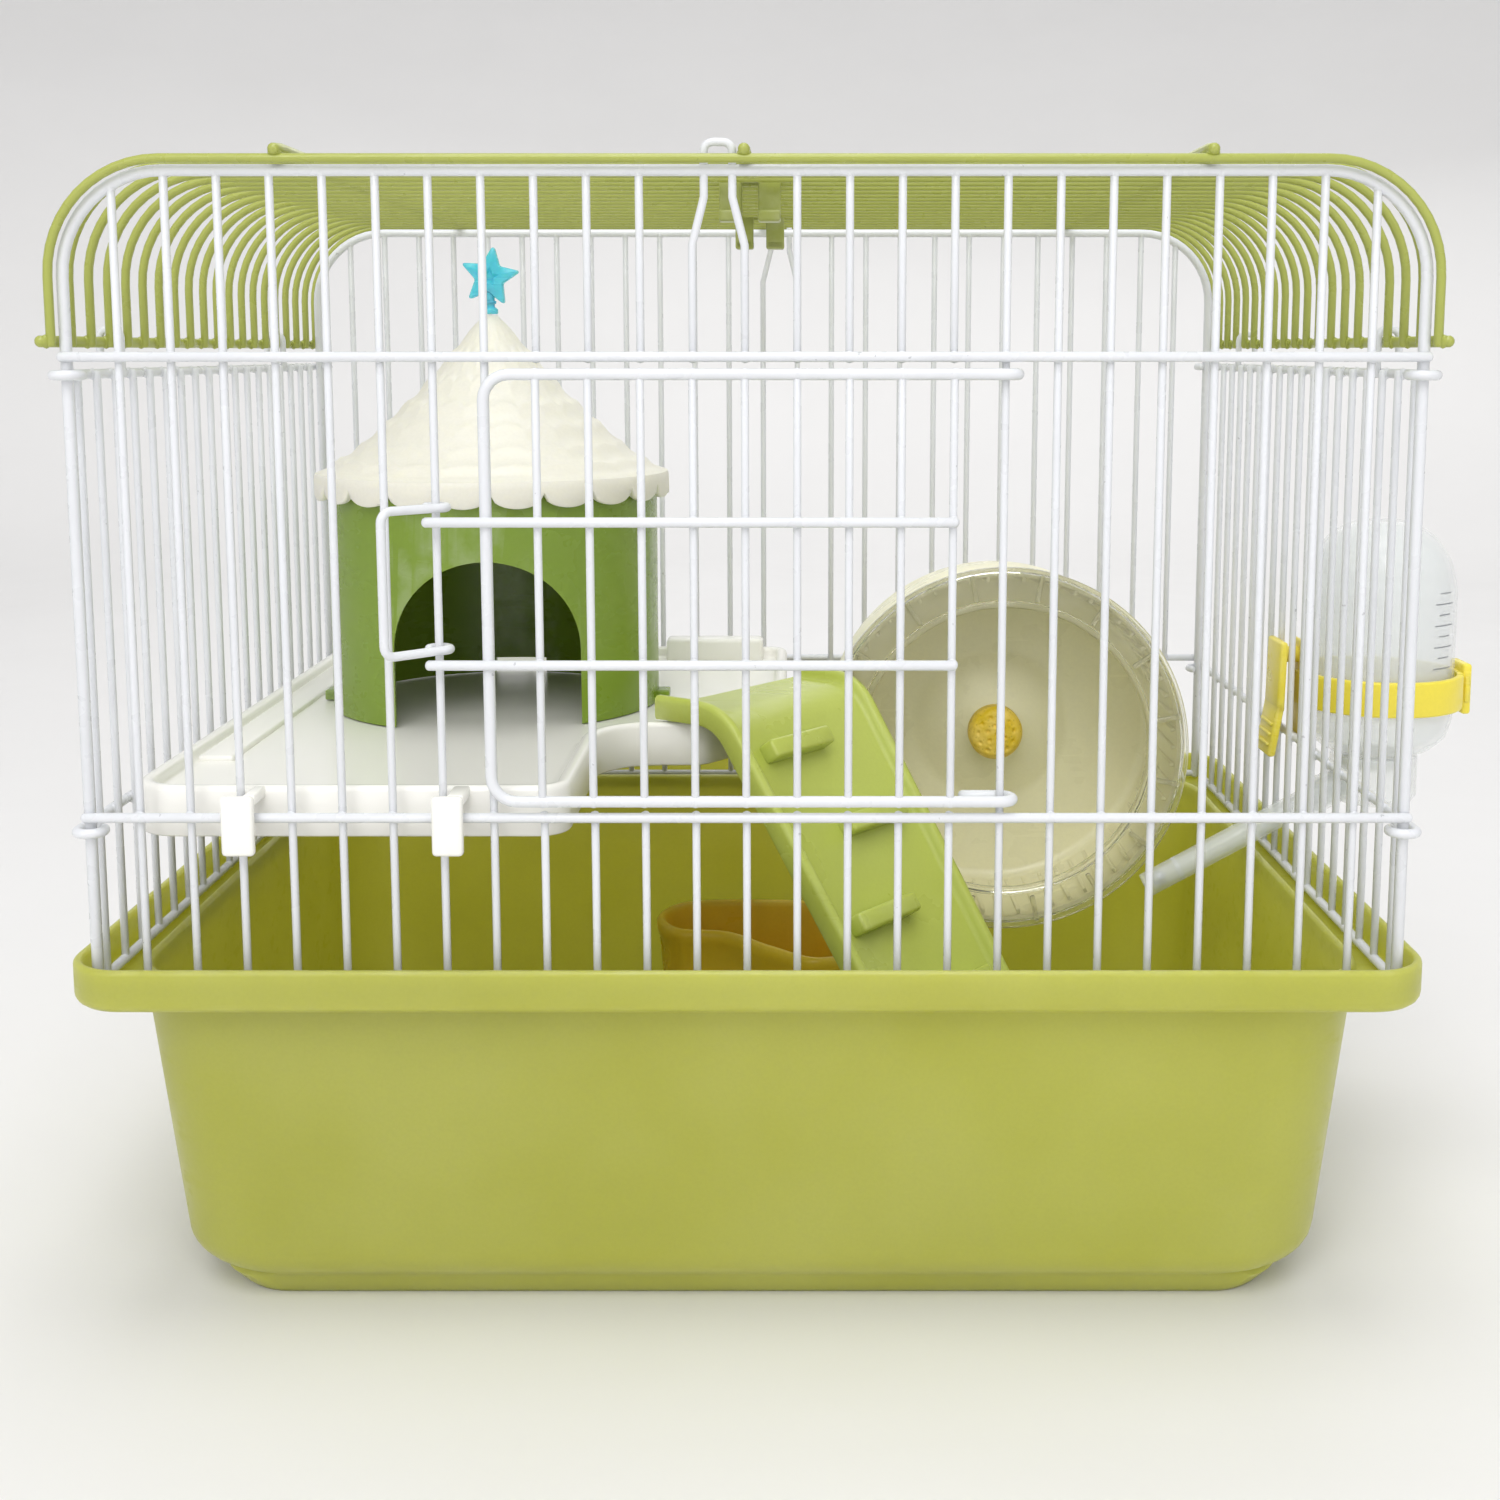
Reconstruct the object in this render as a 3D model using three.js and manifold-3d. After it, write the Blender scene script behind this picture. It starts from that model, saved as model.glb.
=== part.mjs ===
// Hamster cage: a welded wire cage with a barred roof, standing inside the rim of a deep plastic tray.
// Inside are a platform with a round house, a ladder, a running wheel and a food bowl. A drinking bottle
// hangs outside the right panel. Millimetres, +X right, the front faces -Y, +Z up. The origin is the
// centre of the tray's foot.

import * as THREE from 'three';
import { mergeVertices } from 'three/addons/utils/BufferGeometryUtils.js';
import Module from 'manifold-3d';

const wasm = await Module();
wasm.setup();
const { Manifold } = wasm;

// ---- Driving dimensions -------------------------------------------------------------------------------

const PITCH = 10;            // wire spacing, the same on every panel
const GAP = 0.3;             // clearance between pieces that rest on each other
const BIG = 400;             // longer than the whole object, for cutting shapes that run right through

const UPRIGHT = 1.6;         // diameters of the wires
const RAIL = 2.0;
const FRAME = 2.3;
const ROOF_WIRE = 1.8;
const LATCH_WIRE = 1.8;
const WIRE_SIDES = 4;        // wires are square in section here, with the area of the round wire
const WIRE_FIT = 1.25;       // a square wire's corner distance, in radii of the round wire
const RAIL_STEP = 1.65;      // a rail's axis in front of the uprights': it lies on them, welded to the frame

const TRAY = {
  footX: 111, footY: 77, footTop: 4.5, footRadius: 12,
  bodyX: 121.7, bodyY: 84.2, bodyRadius: 20, draft: 0.0886, bottomFillet: 9,
  ledge: 72, beadTop: 74, wall: 2, floor: 2, step: 6.5,
  rimX: 136.4, rimY: 98.9, rimRadius: 12, rimBottom: 70, rimTop: 79, lip: 1.8, rimFillet: 2.5,
};

const CAGE = {
  frontY: 92.5, frameX: 130, foot: 72.4, top: 234, corner: 20,
  upperRail: 199, lowerRail: 108.8, bottomRail: 73.7,
  sideX: 131.1, sideUpperRail: 195.5, sideLowerRail: 105.8, sideEnd: 85, hook: 2.6,
};

const ROOF = {
  halfX: 131.8, top: 236, corner: 22, end: 200.8, endX: 133.5, endZ: 201.9, crossX: 88, crossZ: 238, crossDip: 0.45,
  halfY: 95, reachY: 96.5,
};

const HANDLE = {
  x: 0, width: 13, foot: 50, thick: 2.4, low: 239.8, high: 242.2, lipTop: 229.6, lip: 3.4, slot: 3.4, footIn: 1.2,
  footOut: 1.5,
};

const DOOR = {
  left: -50, right: 50, bottom: 112.3, top: 195.7, y: -94.95, corner: 5, tail: 8,
  barTop: 167.5, barBottom: 139.7, barStart: -62, barEnd: 41,
};

const LATCH = { axisX: -60, top: 170.1, bottom: 142.3, reach: 13.7, angle: 232.7, eye: 2.1 };

const DECK = { rim: 113.8, floor: 111, under: 108.8, skirt: 103.5, left: -124.5, right: 7, front: -88.7, back: 85 };

const HOUSE = {
  x: -67, y: 17.4, radius: 41.2, wall: 2, base: 111.3, top: 168, doorHalf: 22, doorHeight: 40, doorTurn: 5.6,
  slotHalf: 7, slotHeight: 4, lugReach: 3, lugHalf: 3, lugHeight: 2.5,
};
const LID = {
  brim: 44.3, skirt: 163.8, apex: 209, scallops: 22, scallopDepth: 3.5, sides: 33,
  inside: [[0, 206], [8, 199.6], [18, 187.6], [32, 174.9], [40.5, 168.3], [42.3, 168.3], [42.3, 163.8]],
  outside: [[44.3, 163.8], [44.3, 169], [42.6, 171], [33, 177.2], [19, 190], [9, 201.4], [2.6, 209]],
};
const STAR = { radius: 8, notch: 3.7, thick: 3, z: 218.5, tilt: 8 };

const LADDER = {
  x: -6, y: -2.5, turn: -38.5, top: 117, flat: 12, bend: 12, slope: 55, end: 8.6, wideTop: 28, wideEnd: 23,
  steps: 5, firstStep: 25, stepPitch: 12.7, stepSize: [4.6, 22, 5], stepLeft: -7.5, stepRight: 5.5,
};

const WHEEL = {
  x: 64, z: 97, front: 20, radius: 47.2, depth: 36, wall: 1.6, bore: 2.4, axle: 2.0, ribs: 16, sides: 32,
  studEnd: 78.2, nutEnd: 78.4,
};

const BOTTLE = {
  x: 153.6, radius: 18.2, wall: 1.4, mouth: 99.2, top: 159.4, sides: 20,
  ringLow: 113.5, ringHigh: 122, studZ: 125.7,
};
const SPOUT = { radius: 3.15, bore: 2.2, start: [148.2, 94.65], end: [97.4, 66.5], tip: 2, ball: 1.9 };

const BOWL = {
  bottom: 2.3, top: 40, wall: 2, taper: 0.9, middleX: 4, middleY: 51, points: 32,
  outline: [
    [-30, 60], [-23, 73], [-2, 75.5], [20, 72], [36, 56], [33, 33], [16, 22], [2, 32], [-10, 44], [-24, 47],
  ],
};

const COLOURS = {
  trayGreen: 0xacae5a, white: 0xebecf0, roofGreen: 0xa9b85c, ivory: 0xf0eee1, houseGreen: 0x83a03b,
  lime: 0xaec75a, cream: 0xece8cd, amber: 0xe1af46, orange: 0xda9623, yellow: 0xded25f, cyan: 0x6ecddc,
  clear: 0xe8f0f2, steel: 0xb8bcc0,
};

// ---- Shape helpers ------------------------------------------------------------------------------------

const vec = (x, y, z) => new THREE.Vector3(x, y, z);
const radians = THREE.MathUtils.degToRad;

// A closed geometry as a solid that can be joined and cut.
function solidOf(geometry) {
  geometry.deleteAttribute('normal');
  geometry.deleteAttribute('uv');
  const merged = mergeVertices(geometry, 1e-4);
  const index = Array.from(merged.index.array);
  const position = merged.attributes.position.array;
  const kept = [];
  for (let i = 0; i < index.length; i += 3) {
    const [a, b, c] = index.slice(i, i + 3);
    if (a !== b && b !== c && c !== a) kept.push(a, b, c);
  }
  return new Manifold(new wasm.Mesh({
    numProp: 3, vertProperties: new Float32Array(position), triVerts: new Uint32Array(kept),
  }));
}

function geometryOf(solid) {
  const mesh = solid.getMesh();
  const geometry = new THREE.BufferGeometry();
  geometry.setAttribute('position', new THREE.BufferAttribute(mesh.vertProperties, 3));
  geometry.setIndex(new THREE.BufferAttribute(mesh.triVerts, 1));
  geometry.computeVertexNormals();
  return geometry;
}

const join = (solids) => Manifold.union(solids);

function block(low, high) {
  const size = high.map((value, i) => value - low[i]);
  const geometry = new THREE.BoxGeometry(...size);
  geometry.translate(...high.map((value, i) => (value + low[i]) / 2));
  return solidOf(geometry);
}

// A closed skin over rings of equally many points. The ends are filled.
function loft(rings) {
  const count = rings[0].length;
  const points = rings.flat();
  const index = [];
  for (let r = 0; r + 1 < rings.length; r += 1) {
    for (let i = 0; i < count; i += 1) {
      const next = (i + 1) % count;
      const low = r * count;
      const high = low + count;
      index.push(low + i, low + next, high + next, low + i, high + next, high + i);
    }
  }
  const across = rings[0][1].clone().sub(rings[0][0]).normalize();
  const normal = rings[0].reduce((sum, p, i) => sum.add(p.clone().cross(rings[0][(i + 1) % count])), vec(0, 0, 0));
  const upward = normal.normalize().clone().cross(across);
  const flat = rings[0].map((p) => new THREE.Vector2(p.dot(across), p.dot(upward)));
  const cap = THREE.ShapeUtils.triangulateShape(flat, []);
  const last = (rings.length - 1) * count;
  for (const [a, b, c] of cap) {
    index.push(a, c, b);
    index.push(last + a, last + b, last + c);
  }
  const geometry = new THREE.BufferGeometry();
  geometry.setAttribute('position', new THREE.Float32BufferAttribute(points.flatMap((p) => p.toArray()), 3));
  geometry.setIndex(index);
  return solidOf(geometry.toNonIndexed());
}

// A level rounded rectangle, as a ring of points.
function roundedRing(halfX, halfY, radius, z, pieces = 5) {
  const ring = [];
  const corners = [[1, 1, 0], [-1, 1, 90], [-1, -1, 180], [1, -1, 270]];
  for (const [sx, sy, start] of corners) {
    for (let i = 0; i <= pieces; i += 1) {
      const angle = radians(start + (90 * i) / pieces);
      const x = sx * (halfX - radius) + radius * Math.cos(angle);
      const y = sy * (halfY - radius) + radius * Math.sin(angle);
      ring.push(vec(x, y, z));
    }
  }
  return ring;
}

// A turned body about the Z axis. The profile is [radius, height] pairs and starts and ends on the axis,
// or closes on itself.
function turned(profile, sides) {
  const points = profile.map(([r, z]) => new THREE.Vector2(r, z));
  const geometry = new THREE.LatheGeometry(points, sides);
  geometry.rotateX(Math.PI / 2);
  const solid = solidOf(geometry);
  return solid.volume() > 0 ? solid : solidOf(flipped(geometry));
}

function flipped(geometry) {
  const copy = geometry.toNonIndexed();
  const array = copy.attributes.position.array;
  for (let i = 0; i < array.length; i += 9) {
    for (let k = 0; k < 3; k += 1) {
      const held = array[i + 3 + k];
      array[i + 3 + k] = array[i + 6 + k];
      array[i + 6 + k] = held;
    }
  }
  return copy;
}

// A flat outline pushed up from z to z + height.
function plate(shape, z, height, curveSegments = 6) {
  const geometry = new THREE.ExtrudeGeometry(shape, { depth: height, bevelEnabled: false, curveSegments });
  geometry.translate(0, 0, z);
  return solidOf(geometry);
}

// ---- Wires --------------------------------------------------------------------------------------------

// A wire's centre line through its stops, one step of the curve to each.
class BentLine extends THREE.Curve {
  constructor(stops) {
    super();
    this.stops = stops;
  }

  getPoint(t, target = new THREE.Vector3()) {
    const place = t * (this.stops.length - 1);
    const i = Math.min(Math.floor(place), this.stops.length - 2);
    return target.lerpVectors(this.stops[i], this.stops[i + 1], place - i);
  }

  getPointAt(t, target) {
    return this.getPoint(t, target);
  }

  getTangentAt(t, target = new THREE.Vector3()) {
    const last = this.stops.length - 1;
    const i = Math.round(t * last);
    const before = this.stops[Math.max(i - 1, 0)];
    const here = this.stops[i];
    const after = this.stops[Math.min(i + 1, last)];
    const arriving = here.clone().sub(before).normalize();
    const leaving = after.clone().sub(here).normalize();
    return target.copy(arriving).add(leaving).normalize();
  }
}

// The same corners with each one rounded.
function rounded(corners, radius, pieces) {
  const stops = [corners[0]];
  for (let i = 1; i + 1 < corners.length; i += 1) {
    const back = corners[i - 1].clone().sub(corners[i]).normalize();
    const onward = corners[i + 1].clone().sub(corners[i]).normalize();
    const half = back.angleTo(onward) / 2;
    const setback = radius / Math.tan(half);
    const centre = back.clone().add(onward).normalize().multiplyScalar(radius / Math.sin(half)).add(corners[i]);
    const from = back.multiplyScalar(setback).add(corners[i]).sub(centre);
    const to = onward.multiplyScalar(setback).add(corners[i]).sub(centre);
    const sweep = Math.PI - 2 * half;
    for (let k = 0; k <= pieces; k += 1) {
      const share = k / pieces;
      const arm = from.clone().multiplyScalar(Math.sin((1 - share) * sweep));
      arm.addScaledVector(to, Math.sin(share * sweep)).divideScalar(Math.sin(sweep));
      stops.push(arm.add(centre));
    }
  }
  stops.push(corners[corners.length - 1]);
  return stops;
}

function wireSection(diameter) {
  const shape = new THREE.Shape();
  for (let i = 0; i < WIRE_SIDES; i += 1) {
    const angle = (2 * Math.PI * (i + 0.5)) / WIRE_SIDES;
    const x = WIRE_FIT * (diameter / 2) * Math.cos(angle);
    const y = WIRE_FIT * (diameter / 2) * Math.sin(angle);
    if (i === 0) shape.moveTo(x, y);
    else shape.lineTo(x, y);
  }
  return shape;
}

function wireThrough(stops, diameter) {
  const extrudePath = new BentLine(stops);
  return solidOf(new THREE.ExtrudeGeometry(wireSection(diameter), { steps: stops.length - 1, extrudePath }));
}

function bentWire(corners, diameter, radius, pieces = 3) {
  return wireThrough(rounded(corners, radius, pieces), diameter);
}

// A straight wire. Its flats face the two directions across it, so crossing wires meet flat to flat.
function straightWire(from, to, diameter) {
  const along = to.clone().sub(from);
  const radius = WIRE_FIT * (diameter / 2);
  const turn = Math.PI / WIRE_SIDES;
  const geometry = new THREE.CylinderGeometry(radius, radius, along.length(), WIRE_SIDES, 1, false, turn);
  if (along.y === 0) geometry.rotateX(Math.PI / 2);
  if (along.x !== 0) geometry.rotateY(Math.PI / 2);
  const middle = from.clone().lerp(to, 0.5);
  geometry.translate(middle.x, middle.y, middle.z);
  return solidOf(geometry);
}

function uprightWire(x, y, low, high) {
  return straightWire(vec(x, y, low), vec(x, y, high), UPRIGHT);
}

function crossWire(x0, x1, y, z) {
  return straightWire(vec(x0, y, z), vec(x1, y, z), RAIL);
}

function deepWire(x, y0, y1, z, diameter = RAIL) {
  return straightWire(vec(x, y0, z), vec(x, y1, z), diameter);
}

// Stops on a level arc about a centre, from one angle to another in degrees.
function levelArc(x, y, z, radius, fromAngle, toAngle, pieces) {
  const stops = [];
  for (let i = 0; i <= pieces; i += 1) {
    const angle = radians(fromAngle + ((toAngle - fromAngle) * i) / pieces);
    stops.push(vec(x + radius * Math.cos(angle), y + radius * Math.sin(angle), z));
  }
  return stops;
}

// ---- Tray ---------------------------------------------------------------------------------------------

function trayRing(z, inset, cornerInset = inset) {
  const spread = TRAY.draft * (z - TRAY.footTop);
  const radius = Math.max(TRAY.bodyRadius - cornerInset, 4);
  return roundedRing(TRAY.bodyX + spread - inset, TRAY.bodyY + spread - inset, radius, z);
}

// The drafted tub from its filleted bottom up to a height, with every face moved in by an inset.
function tub(bottom, top, inset, fillet) {
  const rings = [];
  for (let i = 0; i <= 3; i += 1) {
    const angle = radians(30 * i);
    const z = bottom + fillet * (1 - Math.cos(angle));
    rings.push(trayRing(z, inset + fillet * (1 - Math.sin(angle)), inset));
  }
  rings.push(trayRing(top, inset));
  return loft(rings);
}

function trayRim() {
  const { rimX, rimY, rimRadius, rimBottom, rimTop, rimFillet, ledge, lip } = TRAY;
  const outer = [];
  for (let i = 0; i <= 2; i += 1) {
    const angle = radians(45 * i);
    const inset = rimFillet * (1 - Math.sin(angle));
    const z = rimBottom + rimFillet * (1 - Math.cos(angle));
    outer.push(roundedRing(rimX - inset, rimY - inset, rimRadius - inset, z));
  }
  outer.push(roundedRing(rimX, rimY, rimRadius, rimTop - 0.6));
  outer.push(roundedRing(rimX - 0.6, rimY - 0.6, rimRadius - 0.6, rimTop));
  const recess = [ledge, rimTop + 1].map((z) => roundedRing(rimX - lip, rimY - lip, rimRadius - lip, z));
  return loft(outer).subtract(loft(recess));
}

function tray() {
  const foot = loft([0, TRAY.footTop + 1].map((z) => (
    roundedRing(TRAY.footX + z, TRAY.footY + z, TRAY.footRadius, z))));
  const outside = join([tub(TRAY.footTop, TRAY.beadTop, 0, TRAY.bottomFillet), trayRim(), foot]);
  const inside = tub(TRAY.step, TRAY.rimTop + 1, TRAY.wall, TRAY.bottomFillet - TRAY.wall);
  const well = loft([TRAY.floor, TRAY.step + 1].map((z) => (
    roundedRing(TRAY.footX - TRAY.wall + z, TRAY.footY - TRAY.wall + z, TRAY.footRadius - TRAY.wall, z))));
  return outside.subtract(inside).subtract(well);
}

// ---- Cage panels --------------------------------------------------------------------------------------

// Height of the arched frame's centre line above a place across the panel.
function frameHeight(x) {
  const past = Math.abs(x) - (CAGE.frameX - CAGE.corner);
  return past <= 0 ? CAGE.top : CAGE.top - CAGE.corner + Math.sqrt(CAGE.corner ** 2 - past ** 2);
}

// The middle pair of wires, drawn together into a narrow loop that stands above the frame.
function topLoop(y, side) {
  const centre = -side * (PITCH / 2);
  const neck = 2.7;
  const half = (sign) => [
    vec(centre + sign * (PITCH / 2), y, CAGE.upperRail - 1),
    vec(centre + sign * (PITCH / 2), y, CAGE.top - 14),
    vec(centre + sign * neck, y, CAGE.top - 5),
  ];
  const corners = [...half(-1), vec(centre - neck, y, 239.4), vec(centre + neck, y, 239.4), ...half(1).reverse()];
  return bentWire(corners, UPRIGHT, 1.6, 2);
}

// The front panel faces -Y with side 1. The back panel is the same, mirrored, with side -1.
function endPanel(side, hasDoorway) {
  const y = -side * CAGE.frontY;
  const railY = y - side * RAIL_STEP;
  const { frameX, foot, top, corner, upperRail, lowerRail, bottomRail } = CAGE;
  const feet = [vec(-frameX, y, foot), vec(-frameX, y, top), vec(frameX, y, top), vec(frameX, y, foot)];
  const wires = [bentWire(feet, FRAME, corner, 4)];
  const reach = frameX + 1.2;
  wires.push(crossWire(-reach, reach, railY, upperRail), crossWire(-reach, reach, railY, lowerRail));
  wires.push(crossWire(-frameX, frameX, y, bottomRail));
  const loopPair = side > 0 ? [-PITCH, 0] : [0, PITCH];
  for (let x = -12 * PITCH; x <= 12 * PITCH; x += PITCH) {
    const inDoorway = hasDoorway && Math.abs(x) < DOOR.right - 1;
    const high = loopPair.includes(x) ? upperRail : frameHeight(x);
    if (inDoorway) {
      wires.push(uprightWire(x, y, bottomRail, lowerRail + 1));
      if (!loopPair.includes(x)) wires.push(uprightWire(x, y, upperRail - 1, high));
    } else {
      wires.push(uprightWire(x, y, bottomRail, high));
    }
  }
  wires.push(topLoop(y, side));
  return join(wires);
}

// A side rail, hooked round the front and back frame wires at its ends.
function hookedRail(side, z) {
  const axisY = CAGE.frontY;
  const turn = (y, from, to) => levelArc(side * CAGE.frameX, y, z, CAGE.hook, from, to, 8);
  const front = side > 0 ? turn(-axisY, -240, 0) : turn(-axisY, 60, -180);
  const back = side > 0 ? turn(axisY, 0, 240) : turn(axisY, 180, -60);
  return wireThrough([...front, ...back], RAIL);
}

// A hook of the side panel that goes over the roof's end wire and down outside it.
function roofHook(side, y) {
  const inner = side * (CAGE.sideX + 0.4);
  const outer = side * (ROOF.endX + 2.5);
  const corners = [
    vec(inner, y, CAGE.sideUpperRail - 1), vec(inner, y, ROOF.endZ + 2.7),
    vec(outer, y, ROOF.endZ + 2.7), vec(outer, y, ROOF.endZ - 2.5),
  ];
  return bentWire(corners, UPRIGHT, 1.6, 2);
}

function sidePanel(side) {
  const x = side * CAGE.sideX;
  const wires = [hookedRail(side, CAGE.sideUpperRail), hookedRail(side, CAGE.sideLowerRail)];
  wires.push(deepWire(x, -CAGE.sideEnd - 3, CAGE.sideEnd + 3, CAGE.bottomRail));
  for (let y = -CAGE.sideEnd; y <= CAGE.sideEnd; y += PITCH) {
    const upright = uprightWire(0, 0, CAGE.bottomRail, CAGE.sideUpperRail + 0.8);
    wires.push(upright.translate([x, y, 0]));
  }
  wires.push(roofHook(side, -60), roofHook(side, 60));
  return join(wires);
}

// ---- Roof and carry handle ----------------------------------------------------------------------------

function roofGrille() {
  const { halfX, top, corner, end, endX, endZ, crossX, crossZ, crossDip, halfY, reachY } = ROOF;
  const wires = [];
  for (let y = -halfY; y <= halfY; y += PITCH) {
    const corners = [vec(-halfX, y, end), vec(-halfX, y, top), vec(halfX, y, top), vec(halfX, y, end)];
    wires.push(bentWire(corners, ROOF_WIRE, corner));
  }
  for (const x of [-endX, endX]) wires.push(deepWire(x, -reachY, reachY, endZ, FRAME));
  const dip = crossZ - crossDip;
  const restY = halfY - 4;
  for (const x of [-crossX, HANDLE.x, crossX]) {
    const stops = [vec(x, -reachY, dip), vec(x, -restY, crossZ), vec(x, restY, crossZ), vec(x, reachY, dip)];
    wires.push(wireThrough(stops, FRAME));
  }
  return join(wires);
}

// A low strap along Y. Each foot goes down between two roof wires, astride the middle cross wire, and
// turns outwards under the next roof wire.
function carryHandle() {
  const { x, width, thick, low, high, lipTop, lip, slot } = HANDLE;
  const inner = HANDLE.foot - HANDLE.footIn;
  const outer = HANDLE.foot + HANDLE.footOut;
  const bottom = lipTop - thick;
  const crown = 2 * high + thick - low - 1.6;
  const side = new THREE.Shape();
  side.moveTo(-outer, bottom);
  side.lineTo(-inner, bottom);
  side.lineTo(-inner, low);
  side.quadraticCurveTo(0, high, inner, low);
  side.lineTo(inner, bottom);
  side.lineTo(outer, bottom);
  side.lineTo(outer + lip, bottom);
  side.lineTo(outer + lip, lipTop);
  side.lineTo(outer, lipTop);
  side.lineTo(outer, low + 1);
  side.quadraticCurveTo(0, crown, -outer, low + 1);
  side.lineTo(-outer, lipTop);
  side.lineTo(-outer - lip, lipTop);
  side.lineTo(-outer - lip, bottom);
  side.closePath();
  const geometry = new THREE.ExtrudeGeometry(side, { depth: width, bevelEnabled: false, curveSegments: 10 });
  geometry.rotateX(Math.PI / 2).rotateZ(Math.PI / 2);
  geometry.translate(x - width / 2, 0, 0);
  const strap = solidOf(geometry);
  return strap.subtract(block([x - slot / 2, -BIG, 0], [x + slot / 2, BIG, ROOF.crossZ + 1.6]));
}

// ---- Door and latch -----------------------------------------------------------------------------------

// One edge wire of the door, from its left end to the curl round the jamb wire and its short tail.
function curledEdge(z) {
  const y = -CAGE.frontY;
  const curl = levelArc(DOOR.right, y, z, y - DOOR.y, -90, 90, 6);
  return [...curl, vec(DOOR.right - DOOR.tail, 2 * y - DOOR.y, z)];
}

function door() {
  const { left, bottom, top, y, corner, barTop, barBottom, barStart, barEnd } = DOOR;
  const bottomEdge = curledEdge(bottom);
  const topEdge = curledEdge(top);
  const corners = rounded([bottomEdge[0], vec(left, y, bottom), vec(left, y, top), topEdge[0]], corner, 3);
  const frame = [...bottomEdge.slice(1).reverse(), ...corners, ...topEdge.slice(1)];
  const wires = [wireThrough(frame, FRAME)];
  for (let x = left + PITCH; x < DOOR.right; x += PITCH) wires.push(uprightWire(x, y, bottom, top));
  for (const z of [barTop, barBottom]) wires.push(crossWire(barStart, barEnd, y - RAIL_STEP, z));
  return join(wires);
}

function doorLatch() {
  const { axisX, top, bottom, reach, angle, eye } = LATCH;
  const y = -CAGE.frontY;
  const open = 50;
  const away = vec(Math.cos(radians(angle)), Math.sin(radians(angle)), 0);
  const ring = (z) => levelArc(axisX, y, z, eye, angle + 360 - open, angle + open, 9);
  const arm = (z) => away.clone().multiplyScalar(reach).add(vec(axisX, y, z));
  const stops = [...ring(top), ...rounded([arm(top), arm(bottom)], 2, 2), ...ring(bottom).reverse()];
  return wireThrough(stops, LATCH_WIRE);
}

// ---- Platform and house -------------------------------------------------------------------------------

// The platform's outline, moved in by an inset.
function deckOutline(inset) {
  const { left, right, front, back } = DECK;
  const shape = new THREE.Shape();
  const neckX = -36 - inset;
  const neckY = -26 + inset;
  const corner = 10 - inset * 0.5;
  shape.moveTo(left + inset + corner, front + inset);
  shape.lineTo(neckX - 6, front + inset);
  shape.absarc(neckX - 6, front + inset + 6, 6, -Math.PI / 2, 0, false);
  shape.lineTo(neckX, neckY - 14);
  shape.absarc(neckX + 14, neckY - 14, 14, Math.PI, Math.PI / 2, true);
  shape.lineTo(-12 - inset * 0.4, neckY);
  shape.lineTo(right - inset, neckY + 25 + inset * 0.6);
  shape.lineTo(right - inset, back - inset - 4);
  shape.lineTo(right - inset - 4, back - inset);
  shape.lineTo(left + inset + 4, back - inset);
  shape.lineTo(left + inset, back - inset - 4);
  shape.lineTo(left + inset, front + inset + corner);
  shape.absarc(left + inset + corner, front + inset + corner, corner, Math.PI, 1.5 * Math.PI, false);
  return shape;
}

// A hook of the platform over the front lower rail. Its neck passes beside a wire.
function railHook(left, right, neckLeft) {
  const railY = -CAGE.frontY - RAIL_STEP;
  const inside = railY - 1.4;
  const outside = inside - 2.2;
  const top = CAGE.lowerRail + 5;
  return join([
    block([neckLeft, inside - 0.1, top - 2.2], [right, DECK.front + 4, top]),
    block([left, outside, CAGE.lowerRail - 7], [right, inside, top]),
  ]);
}

function platform() {
  const { rim, floor, under, skirt } = DECK;
  const whole = plate(deckOutline(0), skirt, rim - skirt, 5);
  const sunk = plate(deckOutline(3), floor, rim - floor + 1, 5);
  const hollow = plate(deckOutline(1.8), skirt - 1, under - skirt + 1, 5);
  const hooks = [railHook(-102.8, -96.3, -98.8), railHook(-61.6, -55.4, -58.8)];
  const lip = block([-28, DECK.back - 9, floor - 1], [0, DECK.back - 1, rim + 3.5]);
  return join([whole.subtract(sunk).subtract(hollow), ...hooks, lip]);
}

function houseBody() {
  const { x, y, radius, wall, base, top, doorHalf, doorHeight, doorTurn, slotHalf, slotHeight } = HOUSE;
  const { lugReach, lugHalf, lugHeight } = HOUSE;
  const inner = radius - wall;
  const shell = turned([[inner, base], [radius, base], [radius, top], [inner, top], [inner, base]], 48);
  const arch = new THREE.Shape();
  arch.moveTo(-doorHalf, -5);
  arch.lineTo(doorHalf, -5);
  arch.lineTo(doorHalf, doorHeight - doorHalf);
  arch.absarc(0, doorHeight - doorHalf, doorHalf, 0, Math.PI, false);
  const doorway = new THREE.ExtrudeGeometry(arch, { depth: radius * 1.2, bevelEnabled: false, curveSegments: 12 });
  doorway.rotateX(Math.PI / 2).rotateZ(radians(doorTurn)).translate(0, 0, base);
  const slot = block([-slotHalf, inner - 6, base - 1], [slotHalf, radius + 3, base + slotHeight]);
  const reach = radius + lugReach;
  const root = radius - 1;
  const leftLug = block([-reach, -lugHalf, base], [-root, lugHalf, base + lugHeight]);
  const rightLug = block([root, -lugHalf, base], [reach, lugHalf, base + lugHeight]);
  return join([shell, leftLug, rightLug]).subtract(solidOf(doorway)).subtract(slot).translate([x, y, 0]);
}

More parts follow.
